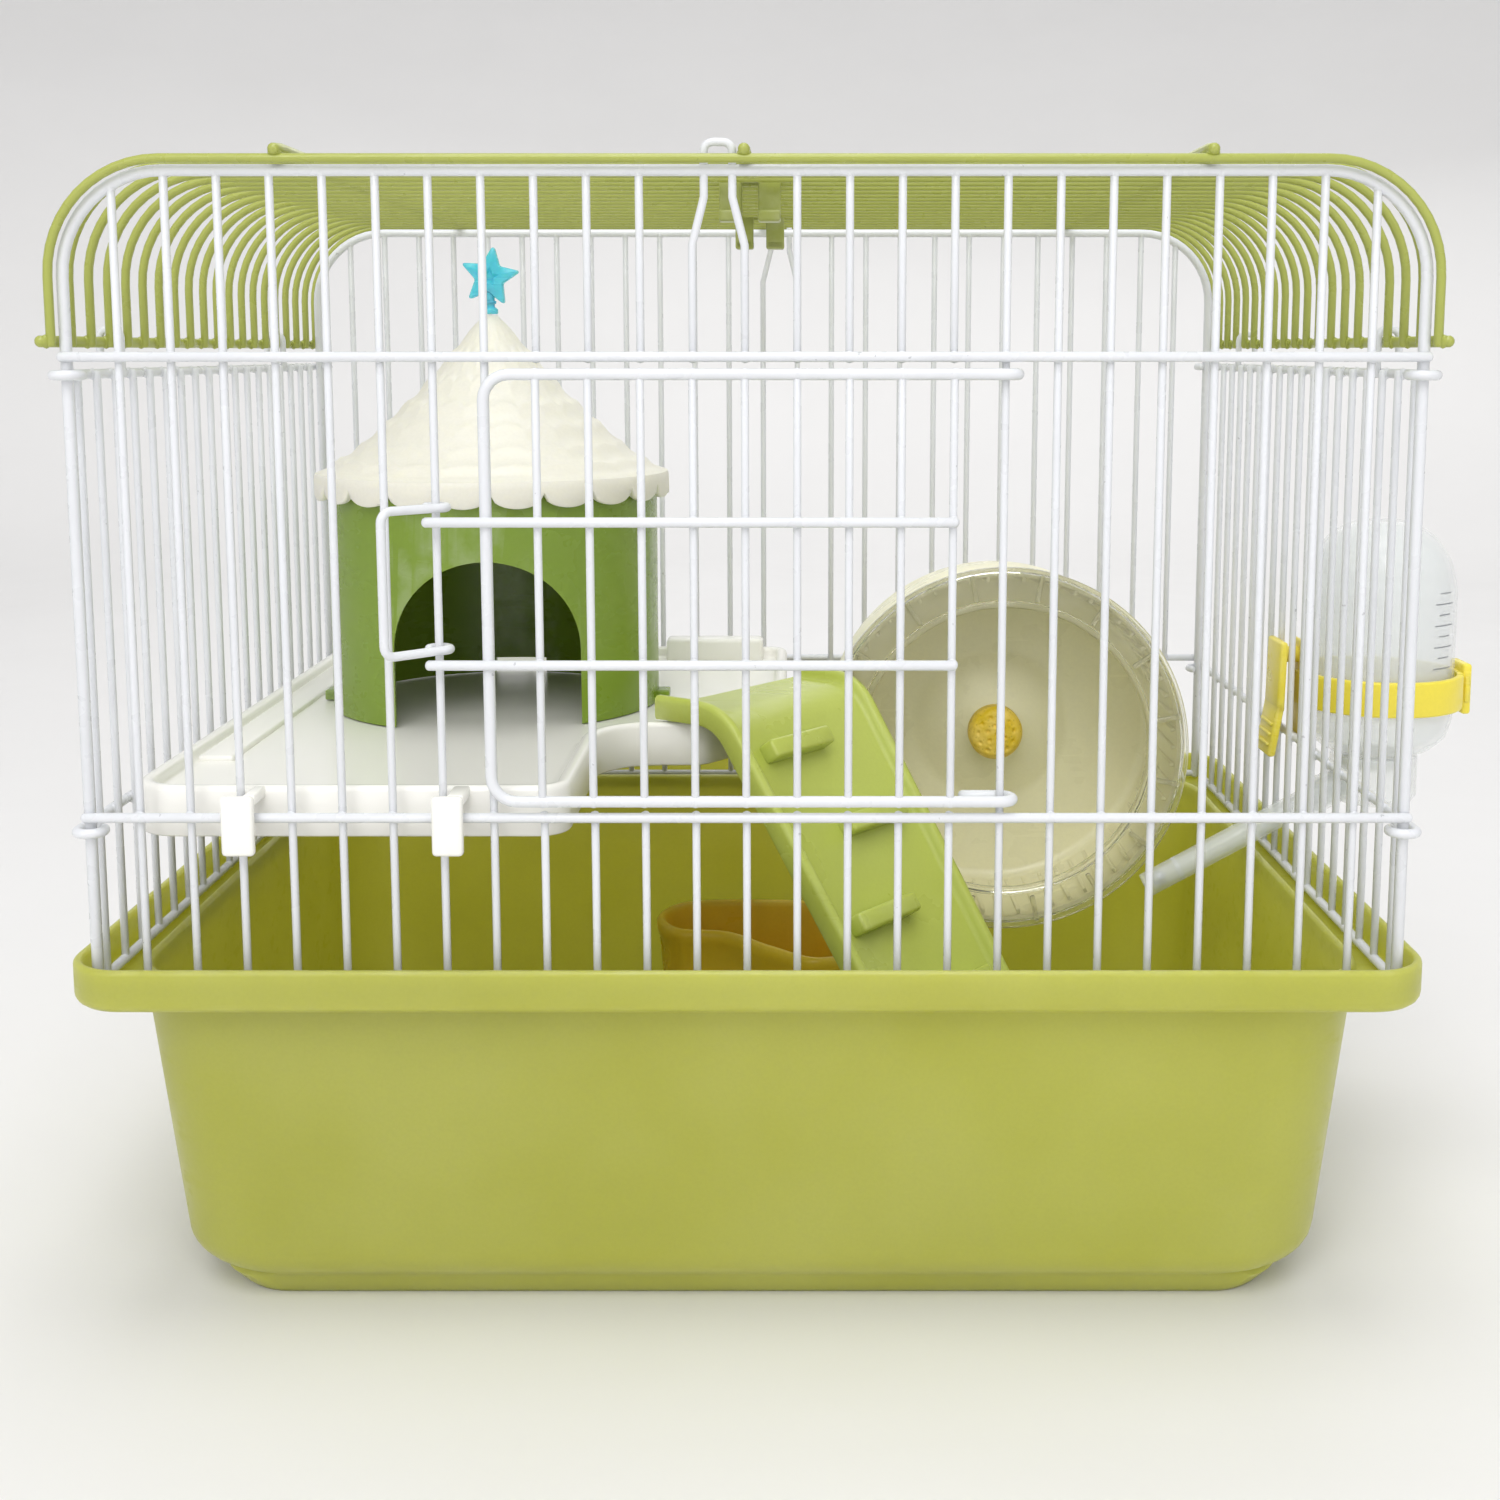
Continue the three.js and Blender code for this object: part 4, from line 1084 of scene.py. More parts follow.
@dataclass
class CarryHandle:
    """The low strap on top, with feet that reach down astride the middle cross wire."""

    width: float = 13.0
    foot: float = 50.0
    low: float = 239.8
    high: float = 243.05
    lip_top: float = 229.6
    lip_low: float = 227.2
    lip: float = 3.4
    slot: float = 3.4
    finish: Finish = HANDLE_GREEN

    def section(self, y: float) -> Ring:
        """Give the strap's rounded section at a place along it."""
        share = abs(y) / (self.foot + 1.5)
        top = self.high - 1.7 * share**2
        under = self.low + 1.0 * (1 - share**2)
        half = self.width / 2
        corners = [Vector((x, y, z)) for x, z in ((-half, under), (half, under), (half, top), (-half, top))]
        return rounded(corners, 0.75, 4, closed=True)

    def build(self) -> None:
        """Build the strap and its four legs with their outward lips."""
        work = Workpiece()
        reach = self.foot + 1.5
        work.loft([self.section(reach * step / 12) for step in range(-12, 13)])
        half = self.width / 2
        for sign_y in (-1, 1):
            inner, outer = sorted((sign_y * (self.foot - 1.2), sign_y * reach))
            lip_in, lip_out = sorted((sign_y * (self.foot - 1.2), sign_y * (reach + self.lip)))
            for low_x, high_x in ((-half, -self.slot / 2), (self.slot / 2, half)):
                work.block((low_x, inner, self.lip_low), (high_x, outer, self.low + 1.2), 0.45)
                work.block((low_x, lip_in, self.lip_low), (high_x, lip_out, self.lip_top), 0.6)
            work.block((-half, inner, self.low - 0.2), (half, outer, self.low + 1.2), 0.3)
        work.piece("handle_strap", self.finish, "handle", ["carry_handle"], "handle_plastic", smooth=50)


# ---- Door and latch


@dataclass
class Door:
    """The wire door, curled round its hinge wire, with two bars that reach past it to the latch."""

    left: float = -50.0
    right: float = 50.0
    low: float = 112.3
    high: float = 195.7
    y: float = -94.95
    axis_y: float = -92.5
    bars: tuple[float, float] = (167.5, 139.7)
    bar_start: float = -62.0
    bar_end: float = 41.0
    finish: Finish = WIRE_WHITE

    def curl(self, z: float) -> Ring:
        """Give an edge wire's curl round the hinge wire and its short tail."""
        centre = Vector((self.right, self.axis_y, z))
        arc = level_arc(centre, self.axis_y - self.y, -90, 90, 12)
        return arc + [Vector((self.right - 8, 2 * self.axis_y - self.y, z))]

    def build(self) -> None:
        """Build the door."""
        lower = self.curl(self.low)
        upper = self.curl(self.high)
        free = [Vector((self.left, self.y, z)) for z in (self.low, self.high)]
        corners = [lower[0], *free, upper[0]]
        work = Workpiece()
        work.sweep(lower[1:][::-1] + rounded(corners, 5, 6) + upper[1:], FRAME_R)
        bar_y = self.y - RAIL_STEP
        for z in self.bars:
            work.line((self.bar_start, bar_y, z), (self.bar_end, bar_y, z), RAIL_R)
            for x in (self.left, *self.uprights()):
                work.bead((x, (self.y + bar_y) / 2, z), (1.2, 0.8, 1.25))
        for x in self.uprights():
            work.line((x, self.y, self.low), (x, self.y, self.high), UPRIGHT_R)
            for z in (self.low, self.high):
                work.bead((x, self.y, z), (1.3, 1.25, 1.3))
        work.piece("door_wires", self.finish, "door", ["door"], "white_wire")

    def uprights(self) -> list[float]:
        """Give the places of the door's uprights."""
        return [self.left + PITCH * step for step in range(1, 10)]


@dataclass
class Latch:
    """The bent wire that turns on a panel wire and hooks over the door's bars."""

    axis_x: float = -60.0
    axis_y: float = -92.5
    high: float = 170.1
    low: float = 142.3
    reach: float = 13.65
    angle: float = 232.7
    eye: float = 2.1
    opening: float = 50.0
    finish: Finish = WIRE_WHITE

    def eye_ring(self, z: float) -> Ring:
        """Give the eye's line at a height, from its free end to where the arm starts."""
        centre = Vector((self.axis_x, self.axis_y, z))
        return level_arc(centre, self.eye, self.angle + 360 - self.opening, self.angle + self.opening, 18)

    def arm(self, z: float) -> Vector:
        """Give the arm's outer corner at a height."""
        turn = math.radians(self.angle)
        out, across = self.reach * math.cos(turn), self.reach * math.sin(turn)
        return Vector((self.axis_x + out, self.axis_y + across, z))

    def build(self) -> None:
        """Build the latch."""
        upper = self.eye_ring(self.high)
        lower = self.eye_ring(self.low)[::-1]
        corners = [upper[-1], self.arm(self.high), self.arm(self.low), lower[0]]
        work = Workpiece()
        work.sweep(upper[:-1] + rounded(corners, 2.2, 6) + lower[1:], LATCH_R)
        work.piece("latch_wire", self.finish, "latch", ["door_latch"], "white_wire")


# ---- Platform and house


def moved_in(outline: Ring, inset: float, z: float) -> Ring:
    """Move a level anticlockwise outline inwards.

    Args:
        outline: The outline.
        inset: How far.
        z: The new outline's height.

    Returns:
        An outline with as many points.
    """
    result = []
    for i, point in enumerate(outline):
        back = (point - outline[i - 1]).normalized()
        onward = (outline[(i + 1) % len(outline)] - point).normalized()
        inward = Vector((-back.y - onward.y, back.x + onward.x, 0)).normalized()
        half = math.cos(back.angle(onward, 0) / 2)
        result.append(Vector((point.x, point.y, z)) + inward * inset / max(half, 0.5))
    return result


@dataclass
class Platform:
    """The raised shelf with a rolled rim, a skirt, and two hooks over the front rail."""

    rim: float = 113.8
    floor: float = 111.0
    under: float = 108.8
    skirt: float = 103.5
    left: float = -124.5
    right: float = 7.0
    front: float = -88.7
    back: float = 85.0
    neck_x: float = -36.0
    neck_y: float = -26.0
    rail_y: float = -94.15
    rail_z: float = 108.8
    hooks: tuple[tuple[float, float, float], ...] = ((-102.8, -96.3, -98.8), (-61.6, -55.4, -58.8))
    finish: Finish = IVORY

    def outline(self) -> Ring:
        """Give the shelf's outline, anticlockwise from its front left corner."""
        corners = [
            (self.left, self.front, 10), (self.neck_x, self.front, 6.5), (self.neck_x, self.neck_y, 14),
            (-12.0, self.neck_y, 7), (self.right, self.neck_y + 25, 7), (self.right, self.back, 6),
            (self.left, self.back, 6),
        ]
        points = [Vector((x, y, 0)) for x, y, _ in corners]
        return rounded(points, [radius for _, _, radius in corners], 8, closed=True)

    def build(self) -> None:
        """Build the shelf, its hooks and the lip at the back."""
        line = self.outline()
        steps = (
            (4.2, self.under), (2.3, self.under - 0.5), (1.9, self.skirt + 0.4), (1.5, self.skirt),
            (0.4, self.skirt), (0.0, self.skirt + 0.4), (0.0, 109.0), (0.0, 112.6), (0.25, 113.3),
            (0.8, self.rim), (2.2, self.rim),
            (2.75, 113.3), (3.0, 112.6), (3.15, self.floor + 0.5), (3.7, self.floor), (5.4, self.floor),
        )
        work = Workpiece()
        work.loft([moved_in(line, inset, z) for inset, z in steps])
        work.block((-28, self.back - 9, self.floor - 1), (0, self.back - 1, self.rim + 3.4), 1.2)
        work.block((self.left + 3.2, -54, self.floor - 0.6), (self.left + 11, 60, self.floor + 1.2), 0.7)
        work.block((-100, self.front + 3.4, self.floor - 0.6), (-46, self.front + 7.6, self.floor + 0.9), 0.6)
        inside = self.rail_y - 1.4
        top = self.rail_z + 5
        for left, right, neck in self.hooks:
            work.block((neck, inside - 0.4, top - 2.2), (right, self.front + 1.0, top), 0.5)
            work.block((left, inside - 2.2, self.rail_z - 7), (right, inside, top), 0.9)
        work.piece("platform_shelf", self.finish, "cage", ["platform"], "ivory_plastic", smooth=50)


@dataclass
class House:
    """The round house: a wall with an arched doorway, a rippled lid with a scalloped brim, and a star."""

    radius: float = 41.2
    wall: float = 2.0
    base: float = 111.3
    top: float = 168.0
    door_half: float = 22.0
    door_height: float = 40.0
    door_turn: float = 5.6
    brim: float = 44.3
    skirt: float = 163.8
    apex: float = 209.0
    scallops: int = 22
    scallop_depth: float = 3.4
    ripples: float = 0.95
    star_z: float = 218.5
    star_radius: float = 8.0
    star_notch: float = 3.7
    star_thick: float = 3.0
    star_tilt: float = -8.0
    wall_finish: Finish = HOUSE_GREEN
    lid_finish: Finish = LID_IVORY
    star_finish: Finish = STAR_CYAN

    def place(self) -> Matrix:
        """Give the transform onto the house's axis."""
        axis = middle("house_body")
        return Matrix.Translation((axis.x, axis.y, 0))

    def build(self) -> None:
        """Build the wall, the lid and the star."""
        self.build_wall()
        self.build_lid()
        self.build_star()

    def build_wall(self) -> None:
        """Build the wall with its doorway, rear slot and lugs."""
        inner = self.radius - self.wall
        work = Workpiece()
        section = [(inner, self.base), (self.radius, self.base), (self.radius, self.top), (inner, self.top)]
        work.turn(section, WIDE_SIDES)
        doorway = Workpiece()
        arch = [Vector((-self.door_half, 0, -5)), Vector((self.door_half, 0, -5))]
        spring = self.door_height - self.door_half
        for step in range(33):
            turn = math.pi * step / 32
            across, up = self.door_half * math.cos(turn), self.door_half * math.sin(turn)
            arch.append(Vector((across, 0, spring + up)))
        doorway.loft([[Vector((p.x, y, p.z)) for p in arch] for y in (0, -self.radius * 1.2)])
        swing = Matrix.Translation((0, 0, self.base)) @ Matrix.Rotation(math.radians(self.door_turn), 4, "Z")
        doorway.move(swing)
        work.cut(doorway)
        slot = Workpiece()
        slot.block((-7, inner - 6, self.base - 1), (7, self.radius + 3, self.base + 4), 0)
        work.cut(slot)
        for sign in (-1, 1):
            low, high = sorted((sign * (self.radius - 1), sign * (self.radius + 2.9)))
            work.block((low, -3, self.base), (high, 3, self.base + 2.5), 0.4)
        work.move(self.place())
        work.piece(
            "house_wall", self.wall_finish, "cage", ["house_body"], "house_plastic", bevel=0.45, smooth=35,
        )

    def cone(self, radius: float) -> float:
        """Give the lid's concave height at a distance from its axis, with its ripples."""
        knots = ((2.6, self.apex - 0.8), (9, 201.2), (19, 189.8), (33, 177.0), (42.6, 170.8), (44.3, 168.8))
        for (r0, z0), (r1, z1) in zip(knots, knots[1:]):
            if radius <= r1:
                share = max(0.0, (radius - r0) / (r1 - r0))
                return z0 + (z1 - z0) * share
        return knots[-1][1]

    def build_lid(self) -> None:
        """Build the lid: a concave cone with ripples, and lobes hanging from its brim."""
        outside: list[tuple[float, float]] = []
        count = 60
        for step in range(count + 1):
            radius = 2.6 + (43.4 - 2.6) * step / count
            smooth = (self.cone(radius - 0.8) + self.cone(radius) + self.cone(radius + 0.8)) / 3
            outside.append((radius, smooth))
        edge = [(44.0, 170.0), (44.25, 169.2), (self.brim, 168.2)]
        edge += [(self.brim, self.skirt + 0.3), (44.0, self.skirt)]
        inside = [(42.6, self.skirt), (42.3, self.skirt + 0.3), (42.3, 168.3), (40.5, 168.3)]
        inside += [(32, 174.9), (18, 187.6), (8, 199.6), (0, 206)]
        work = Workpiece()
        work.turn([(0, self.apex)] + [(1.8, self.apex)] + outside + edge + inside, self.scallops * 12)
        work.shape(self.lobe)
        work.move(self.place())
        work.piece("house_lid", self.lid_finish, "cage", ["house_roof"], "ivory_plastic", smooth=55)

    def lobe(self, place: Vector) -> Vector:
        """Raise a brim vertex between two lobes, and wave the cone along its ripples.

        Args:
            place: The vertex about the lid's own axis.

        Returns:
            Its new place.
        """
        radius = math.hypot(place.x, place.y)
        around = math.atan2(place.y, place.x) * self.scallops / (2 * math.pi)
        within = abs((around % 1.0) * 2 - 1)
        rise = self.scallop_depth * (1 - math.sqrt(max(0.0, 1 - within**2)))
        height = place.z
        if radius > 42.0 and height < self.skirt + 1.0:
            height += rise
        elif 4 < radius < 43.6 and height > self.cone(radius) - 1.2:
            fade = min(1.0, (radius - 4) / 5, (43.6 - radius) / 3)
            wave = radius / 5.6 + 0.24 * (1 - within**2)
            height -= self.ripples * fade * abs(math.sin(math.pi * wave)) ** 0.7
        return Vector((place.x, place.y, height))

    def build_star(self) -> None:
        """Build the star with rounded points and a dimple, on its stem."""
        points = []
        for step in range(10):
            turn = math.pi * step / 5 + math.pi / 2
            radius = self.star_radius if step % 2 == 0 else self.star_notch
            points.append(Vector((radius * math.cos(turn), 0, radius * math.sin(turn))))
        outline = rounded(points, [0.45 if step % 2 == 0 else 0.8 for step in range(10)], 3, closed=True)
        half = self.star_thick / 2
        rings = []
        front = [(-half, 0.9), (-half + 0.25, 0.96), (-half + 0.7, 1.0)]
        for y, size in front + [(-y, size) for y, size in reversed(front)]:
            rings.append([Vector((p.x * size, y, p.z * size)) for p in outline])
        centre = [Vector((p.x * 0.34, -half, p.z * 0.34)) for p in outline]
        dimple = [Vector((p.x * 0.2, -half + 0.8, p.z * 0.2)) for p in outline]
        work = Workpiece()
        work.loft([dimple, centre] + rings)
        lean = Matrix.Rotation(math.radians(-self.star_tilt), 4, "Y")
        tilt = Matrix.Translation((0, 0, self.star_z)) @ lean
        work.move(tilt)
        base = self.apex + 0.3
        end = self.star_z - 3
        stem = [(0, base), (1.9, base, 0.2), (1.9, base + 1.2, 0.3)]
        stem += [(1.1, base + 1.8, 0.3), (1.1, end), (0, end)]
        collar = [(0, base + 2.5), (1.5, base + 2.5, 0.2), (1.5, base + 3.3, 0.2), (0, base + 3.3)]
        for profile in (stem, collar):
            work.turn(profile, THIN_SIDES // 2)
        work.move(self.place())
        work.piece("star_topper", self.star_finish, "cage", ["roof_star"], "star_plastic", smooth=45)


# ---- Ladder


@dataclass
class Ladder:
    """The sloping channel from the platform to the tray's floor, with step blocks left and right by turns."""

    x: float = -6.0
    y: float = -2.5
    turn: float = -38.5
    top: float = 117.0
    flat: float = 12.0
    bend: float = 12.0
    slope: float = 55.0
    end: float = 8.6
    wide_top: float = 28.0
    wide_end: float = 23.0
    steps: int = 5
    first_step: float = 25.0
    step_pitch: float = 12.7
    step_left: float = -7.5
    step_right: float = 5.5
    finish: Finish = LADDER_LIME

    def stations(self) -> list[tuple[float, float, float]]:
        """Give the middle line: distance out from the top edge, height, and pitch in radians."""
        line = [(0.0, self.top, 0.0), (self.flat / 2, self.top, 0.0)]
        pieces = 10
        for i in range(pieces + 1):
            pitch = math.radians(self.slope * i / pieces)
            out = self.flat + self.bend * math.sin(pitch)
            line.append((out, self.top - self.bend * (1 - math.cos(pitch)), pitch))
        out, height, pitch = line[-1]
        drop = height - self.end - 2.4
        for i in range(1, 9):
            share = i / 8
            line.append((out + share * drop / math.tan(pitch), height - share * drop, pitch))
        return line

    def build(self) -> None:
        """Build the channel and its steps."""
        line = self.stations()
        length = line[-1][0]
        rings = []
        for out, height, pitch in line:
            half = self.wide_top + (self.wide_end - self.wide_top) * out / length
            rise = Vector((math.sin(pitch), 0, math.cos(pitch)))
            edge = [
                (half - 4.2, 0), (half - 3.4, 0.3), (half - 2.9, 1.4), (half - 2.5, 2.5), (half - 1.9, 2.9),
                (half - 0.7, 2.85), (half - 0.1, 2.3), (half, 1.5), (half, -1.9), (half - 0.4, -2.7),
                (half - 2.0, -2.7), (half - 2.6, -2.0), (half - 3.2, -1.8),
            ]
            section = edge + [(-across, up) for across, up in reversed(edge)]
            rings.append([Vector((out, across, height)) + rise * up for across, up in section])
        work = Workpiece()
        work.loft(rings)
        corner_out, corner_height, pitch = line[12]
        for i in range(self.steps):
            out = self.first_step + self.step_pitch * i
            height = corner_height - (out - corner_out) * math.tan(pitch)
            sideways = self.step_left if i % 2 == 0 else self.step_right
            place = Matrix.Translation((out, sideways, height)) @ Matrix.Rotation(pitch, 4, "Y")
            work.block((-2.3, -11, -0.8), (2.3, 11, 4.3), 0.9, place)
        swing = Matrix.Translation((self.x, self.y, 0)) @ Matrix.Rotation(math.radians(self.turn), 4, "Z")
        work.move(swing)
        work.piece("ladder_ramp", self.finish, "cage", ["ladder"], "ladder_plastic", smooth=60)


# ---- Food bowl


@dataclass
class FoodBowl:
    """The bean-shaped bowl that stands on the tray's floor."""

    low: float = field(default_factory=lambda: lowest("food_bowl").z)
    high: float = 39.9
    wall: float = 2.0
    taper: float = 0.9
    middle: tuple[float, float] = (4.0, 51.0)
    outline: tuple[tuple[float, float], ...] = (
        (-30, 60), (-23, 73), (-2, 75.5), (20, 72), (36, 56), (33, 33), (16, 22), (2, 32), (-10, 44),
        (-24, 47),
    )
    pieces: int = 10
    finish: Finish = BOWL_ORANGE

    def curve(self) -> Ring:
        """Give a smooth closed line through the outline's points, anticlockwise."""
        points = [Vector((x, y, 0)) for x, y in self.outline]
        count = len(points)
        line = []
        for i in range(count):
            before, start, end, after = (points[(i + k) % count] for k in (-1, 0, 1, 2))
            for k in range(self.pieces):
                t = k / self.pieces
                line.append(0.5 * (
                    2 * start + (end - before) * t + (2 * before - 5 * start + 4 * end - after) * t**2
                    + (3 * start - before - 3 * end + after) * t**3
                ))
        return line[::-1]

    def build(self) -> None:
        """Build the bowl as one shell."""
        line = self.curve()
        middle = Vector((*self.middle, 0))
        steps = (
            (2.6, self.low), (1.0, self.low + 0.4), (0.3, self.low + 1.1), (0.0, self.low + 2.2),
            (0.0, 15), (0.0, 28), (0.0, 35.2), (-0.35, 35.9), (-0.5, 37.2), (-0.35, 38.8), (0.25, 39.6),
            (0.9, self.high), (1.5, 39.7), (1.9, 39.1), (2.0, 37.8), (self.wall, 28), (self.wall, 15),
            (self.wall + 0.1, 6.6), (self.wall + 0.7, 5.1),
            (self.wall + 1.8, self.low + self.wall),
        )
        rings = []
        for inset, z in steps:
            share = (z - self.low) / (self.high - self.low)
            grow = self.taper + (1 - self.taper) * share
            sized = [middle + (point - middle) * (grow - 0.004) for point in line]
            rings.append(moved_in(sized, inset, z))
        work = Workpiece()
        work.loft(rings)
        work.piece("bowl_cup", self.finish, "bowl", ["food_bowl"], "bowl_plastic", smooth=55)


# ---- Running wheel


@dataclass
class RunningWheel:
    """The wheel and its stand: a cream drum, a clear ribbed ring, a biscuit hub cap and an axle."""

    radius: float = 47.2
    depth: float = 36.0
    wall: float = 1.6
    bore: float = 2.4
    ribs: int = 16
    treads: int = 60
    drum_finish: Finish = CREAM
    ring_finish: Finish = CLEAR_RING
    cap_finish: Finish = AMBER
    steel: Finish = STEEL

    def place(self) -> Matrix:
        """Give the transform that lays a body turned about Z, with height as depth, onto the wheel's axis."""
        return Matrix.Translation(middle("wheel_front_ring")) @ Matrix.Rotation(-math.pi / 2, 4, "X")

    def build(self) -> None:
        """Build the wheel and its stand."""
        self.build_drum()
        self.build_ring()
        self.build_cap()
        self.build_stand()

    def build_drum(self) -> None:
        """Build the drum, with a dished back, a boss and treads inside its rim."""
        wall, radius, depth = self.wall, self.radius, self.depth
        profile = [
            (self.bore, 25.5), (6.9, 25.5, 0.8), (9.5, 27.5, 2), (21, depth - wall - 0.1, 6),
            (radius - 4.8, depth - wall, 2.4), (radius - 3, depth - 3, 2), (radius - wall, 2.6),
            (radius - 0.5, 2.0, 0.25), (radius - 0.02, 2.2, 0.2), (radius - 1.4, depth - 2.5, 2),
            (radius - 3.4, depth, 1.5), (22, depth, 6), (7, depth - 2.4, 1.5), (7, depth + 3, 0.5),
            (self.bore, depth + 3),
        ]
        work = Workpiece()
        work.turn(profile, WIDE_SIDES)
        for step in range(self.treads):
            swing = Matrix.Rotation(2 * math.pi * step / self.treads, 4, "Z")
            inner = radius - wall
            work.block((inner - 1.5, -0.5, 3.5), (inner - 0.1, 0.5, depth - 5), 0.25, swing)
        work.move(self.place())
        work.piece("wheel_drum_shell", self.drum_finish, "wheel", ["wheel_drum"], "cream_plastic", smooth=35)

    def build_ring(self) -> None:
        """Build the clear front ring with its radial ribs."""
        work = Workpiece()
        lip = [(37.3, 2.6, 0.3), (37.3, -0.35, 0.5), (38.5, -0.45, 0.5), (38.9, 0.3, 0.3)]
        rim = [(46.3, -1, 1.5), (47.9, -0.9, 0.5), (47.9, 1.55, 0.3), (46.8, 1.55, 0.3)]
        rim += [(46.2, 0.6, 0.8), (39.2, 1.4, 0.5), (38.5, 2.6, 0.3)]
        work.turn(lip + rim, WIDE_SIDES)
        for step in range(self.ribs):
            swing = Matrix.Rotation(2 * math.pi * (step + 0.5) / self.ribs, 4, "Z")
            work.block((39.6, -0.65, -1.55), (46.7, 0.65, -0.3), 0.45, swing)
        work.move(self.place())
        work.piece("wheel_ring", self.ring_finish, "wheel", ["wheel_front_ring"], "clear_plastic", smooth=40)

    def dimple(self, place: Vector) -> Vector:
        """Push a vertex of the hub cap's face into the nearest pinhole.

        Args:
            place: The vertex about the wheel's axis.

        Returns:
            Its new place.
        """
        if place.z > 22.3:
            return place
        depth = 0.0
        for ring, count in ((0.0, 1), (2.5, 6), (4.9, 11)):
            for step in range(count):
                turn = 2 * math.pi * (step + ring * 0.13) / count
                gap = math.hypot(place.x - ring * math.cos(turn), place.y - ring * math.sin(turn))
                depth = max(depth, 0.6 * max(0.0, 1 - (gap / 0.62) ** 2))
        lump = 0.18 * noise.noise(place * 0.9)
        return Vector((place.x, place.y, place.z + depth + max(lump, 0)))

    def build_cap(self) -> None:
        """Build the hub cap: a domed biscuit with pinholes, pressed onto the axle."""
        radii = [0.25 * step for step in range(25)]
        front = [(r, 18.5 + 0.011 * r ** 2 * (1 + (r / 6.4) ** 4)) for r in radii]
        side = [(6.7, 20.0, 0.3), (7.35, 21.3, 0.7), (7.35, 24.9, 0.4), (2.6, 25.2), (2.6, 22), (0, 22)]
        work = Workpiece()
        work.turn([*front, *side], 72)
        work.shape(self.dimple)
        work.move(self.place())
        work.piece("hub_biscuit", self.cap_finish, "wheel", ["wheel_hub_cap"], "amber_plastic", smooth=50)

    def build_stand(self) -> None:
        """Build the axle, the bracket inside the back panel and the nut outside it."""
        place = self.place()
        work = Workpiece()
        rod = [(0, 22.4), (2, 22.4, 0.2), (2, 39.6), (3.2, 39.6, 0.2)]
        rod += [(3.2, 41.2, 0.2), (2, 41.2), (2, 50, 0.3), (0, 50)]
        work.turn(rod, 40, place)
        work.piece("axle_pin", self.steel, "cage", ["wheel_axle"], "steel")
        back = 71.3
        stand = [
            (0, 51), (2.35, 51), (2.35, 41.8), (5.4, 41.8, 0.5), (6.4, 52, 8), (9, 62, 6), (14.9, 67.5, 1),
            (14.9, back, 0.4), (2.95, back, 0.3), (2.95, 78.1, 0.4), (0, 78.1),
        ]
        work = Workpiece()
        work.turn(stand, 64, place)
        work.piece("bracket_cone", self.drum_finish, "cage", ["wheel_bracket"], "cream_plastic")
        low = 75.65
        nut = [(3.5, low), (10.3, low, 0.4), (10.3, 77.7, 0.3), (9.7, 78.3, 0.2)]
        nut += [(6.5, 78.3, 0.3), (5.9, 77.5, 0.2), (3.5, 77.5)]
        work = Workpiece()
        work.turn(nut, ROUND_SIDES, place)
        work.shape(self.knurl)
        work.piece("nut_knob", self.drum_finish, "cage", ["wheel_nut"], "cream_plastic")

    def knurl(self, place: Vector) -> Vector:
        """Wave the nut's rim into finger grips."""
        hub = middle("wheel_nut")
        across, up = place.x - hub.x, place.z - hub.z
        radius = math.hypot(across, up)
        if radius < 9:
            return place
        grip = 1 - 0.035 * (0.5 + 0.5 * math.cos(12 * math.atan2(up, across)))
        return Vector((hub.x + across * grip, place.y, hub.z + up * grip))


# ---- Drinking bottle


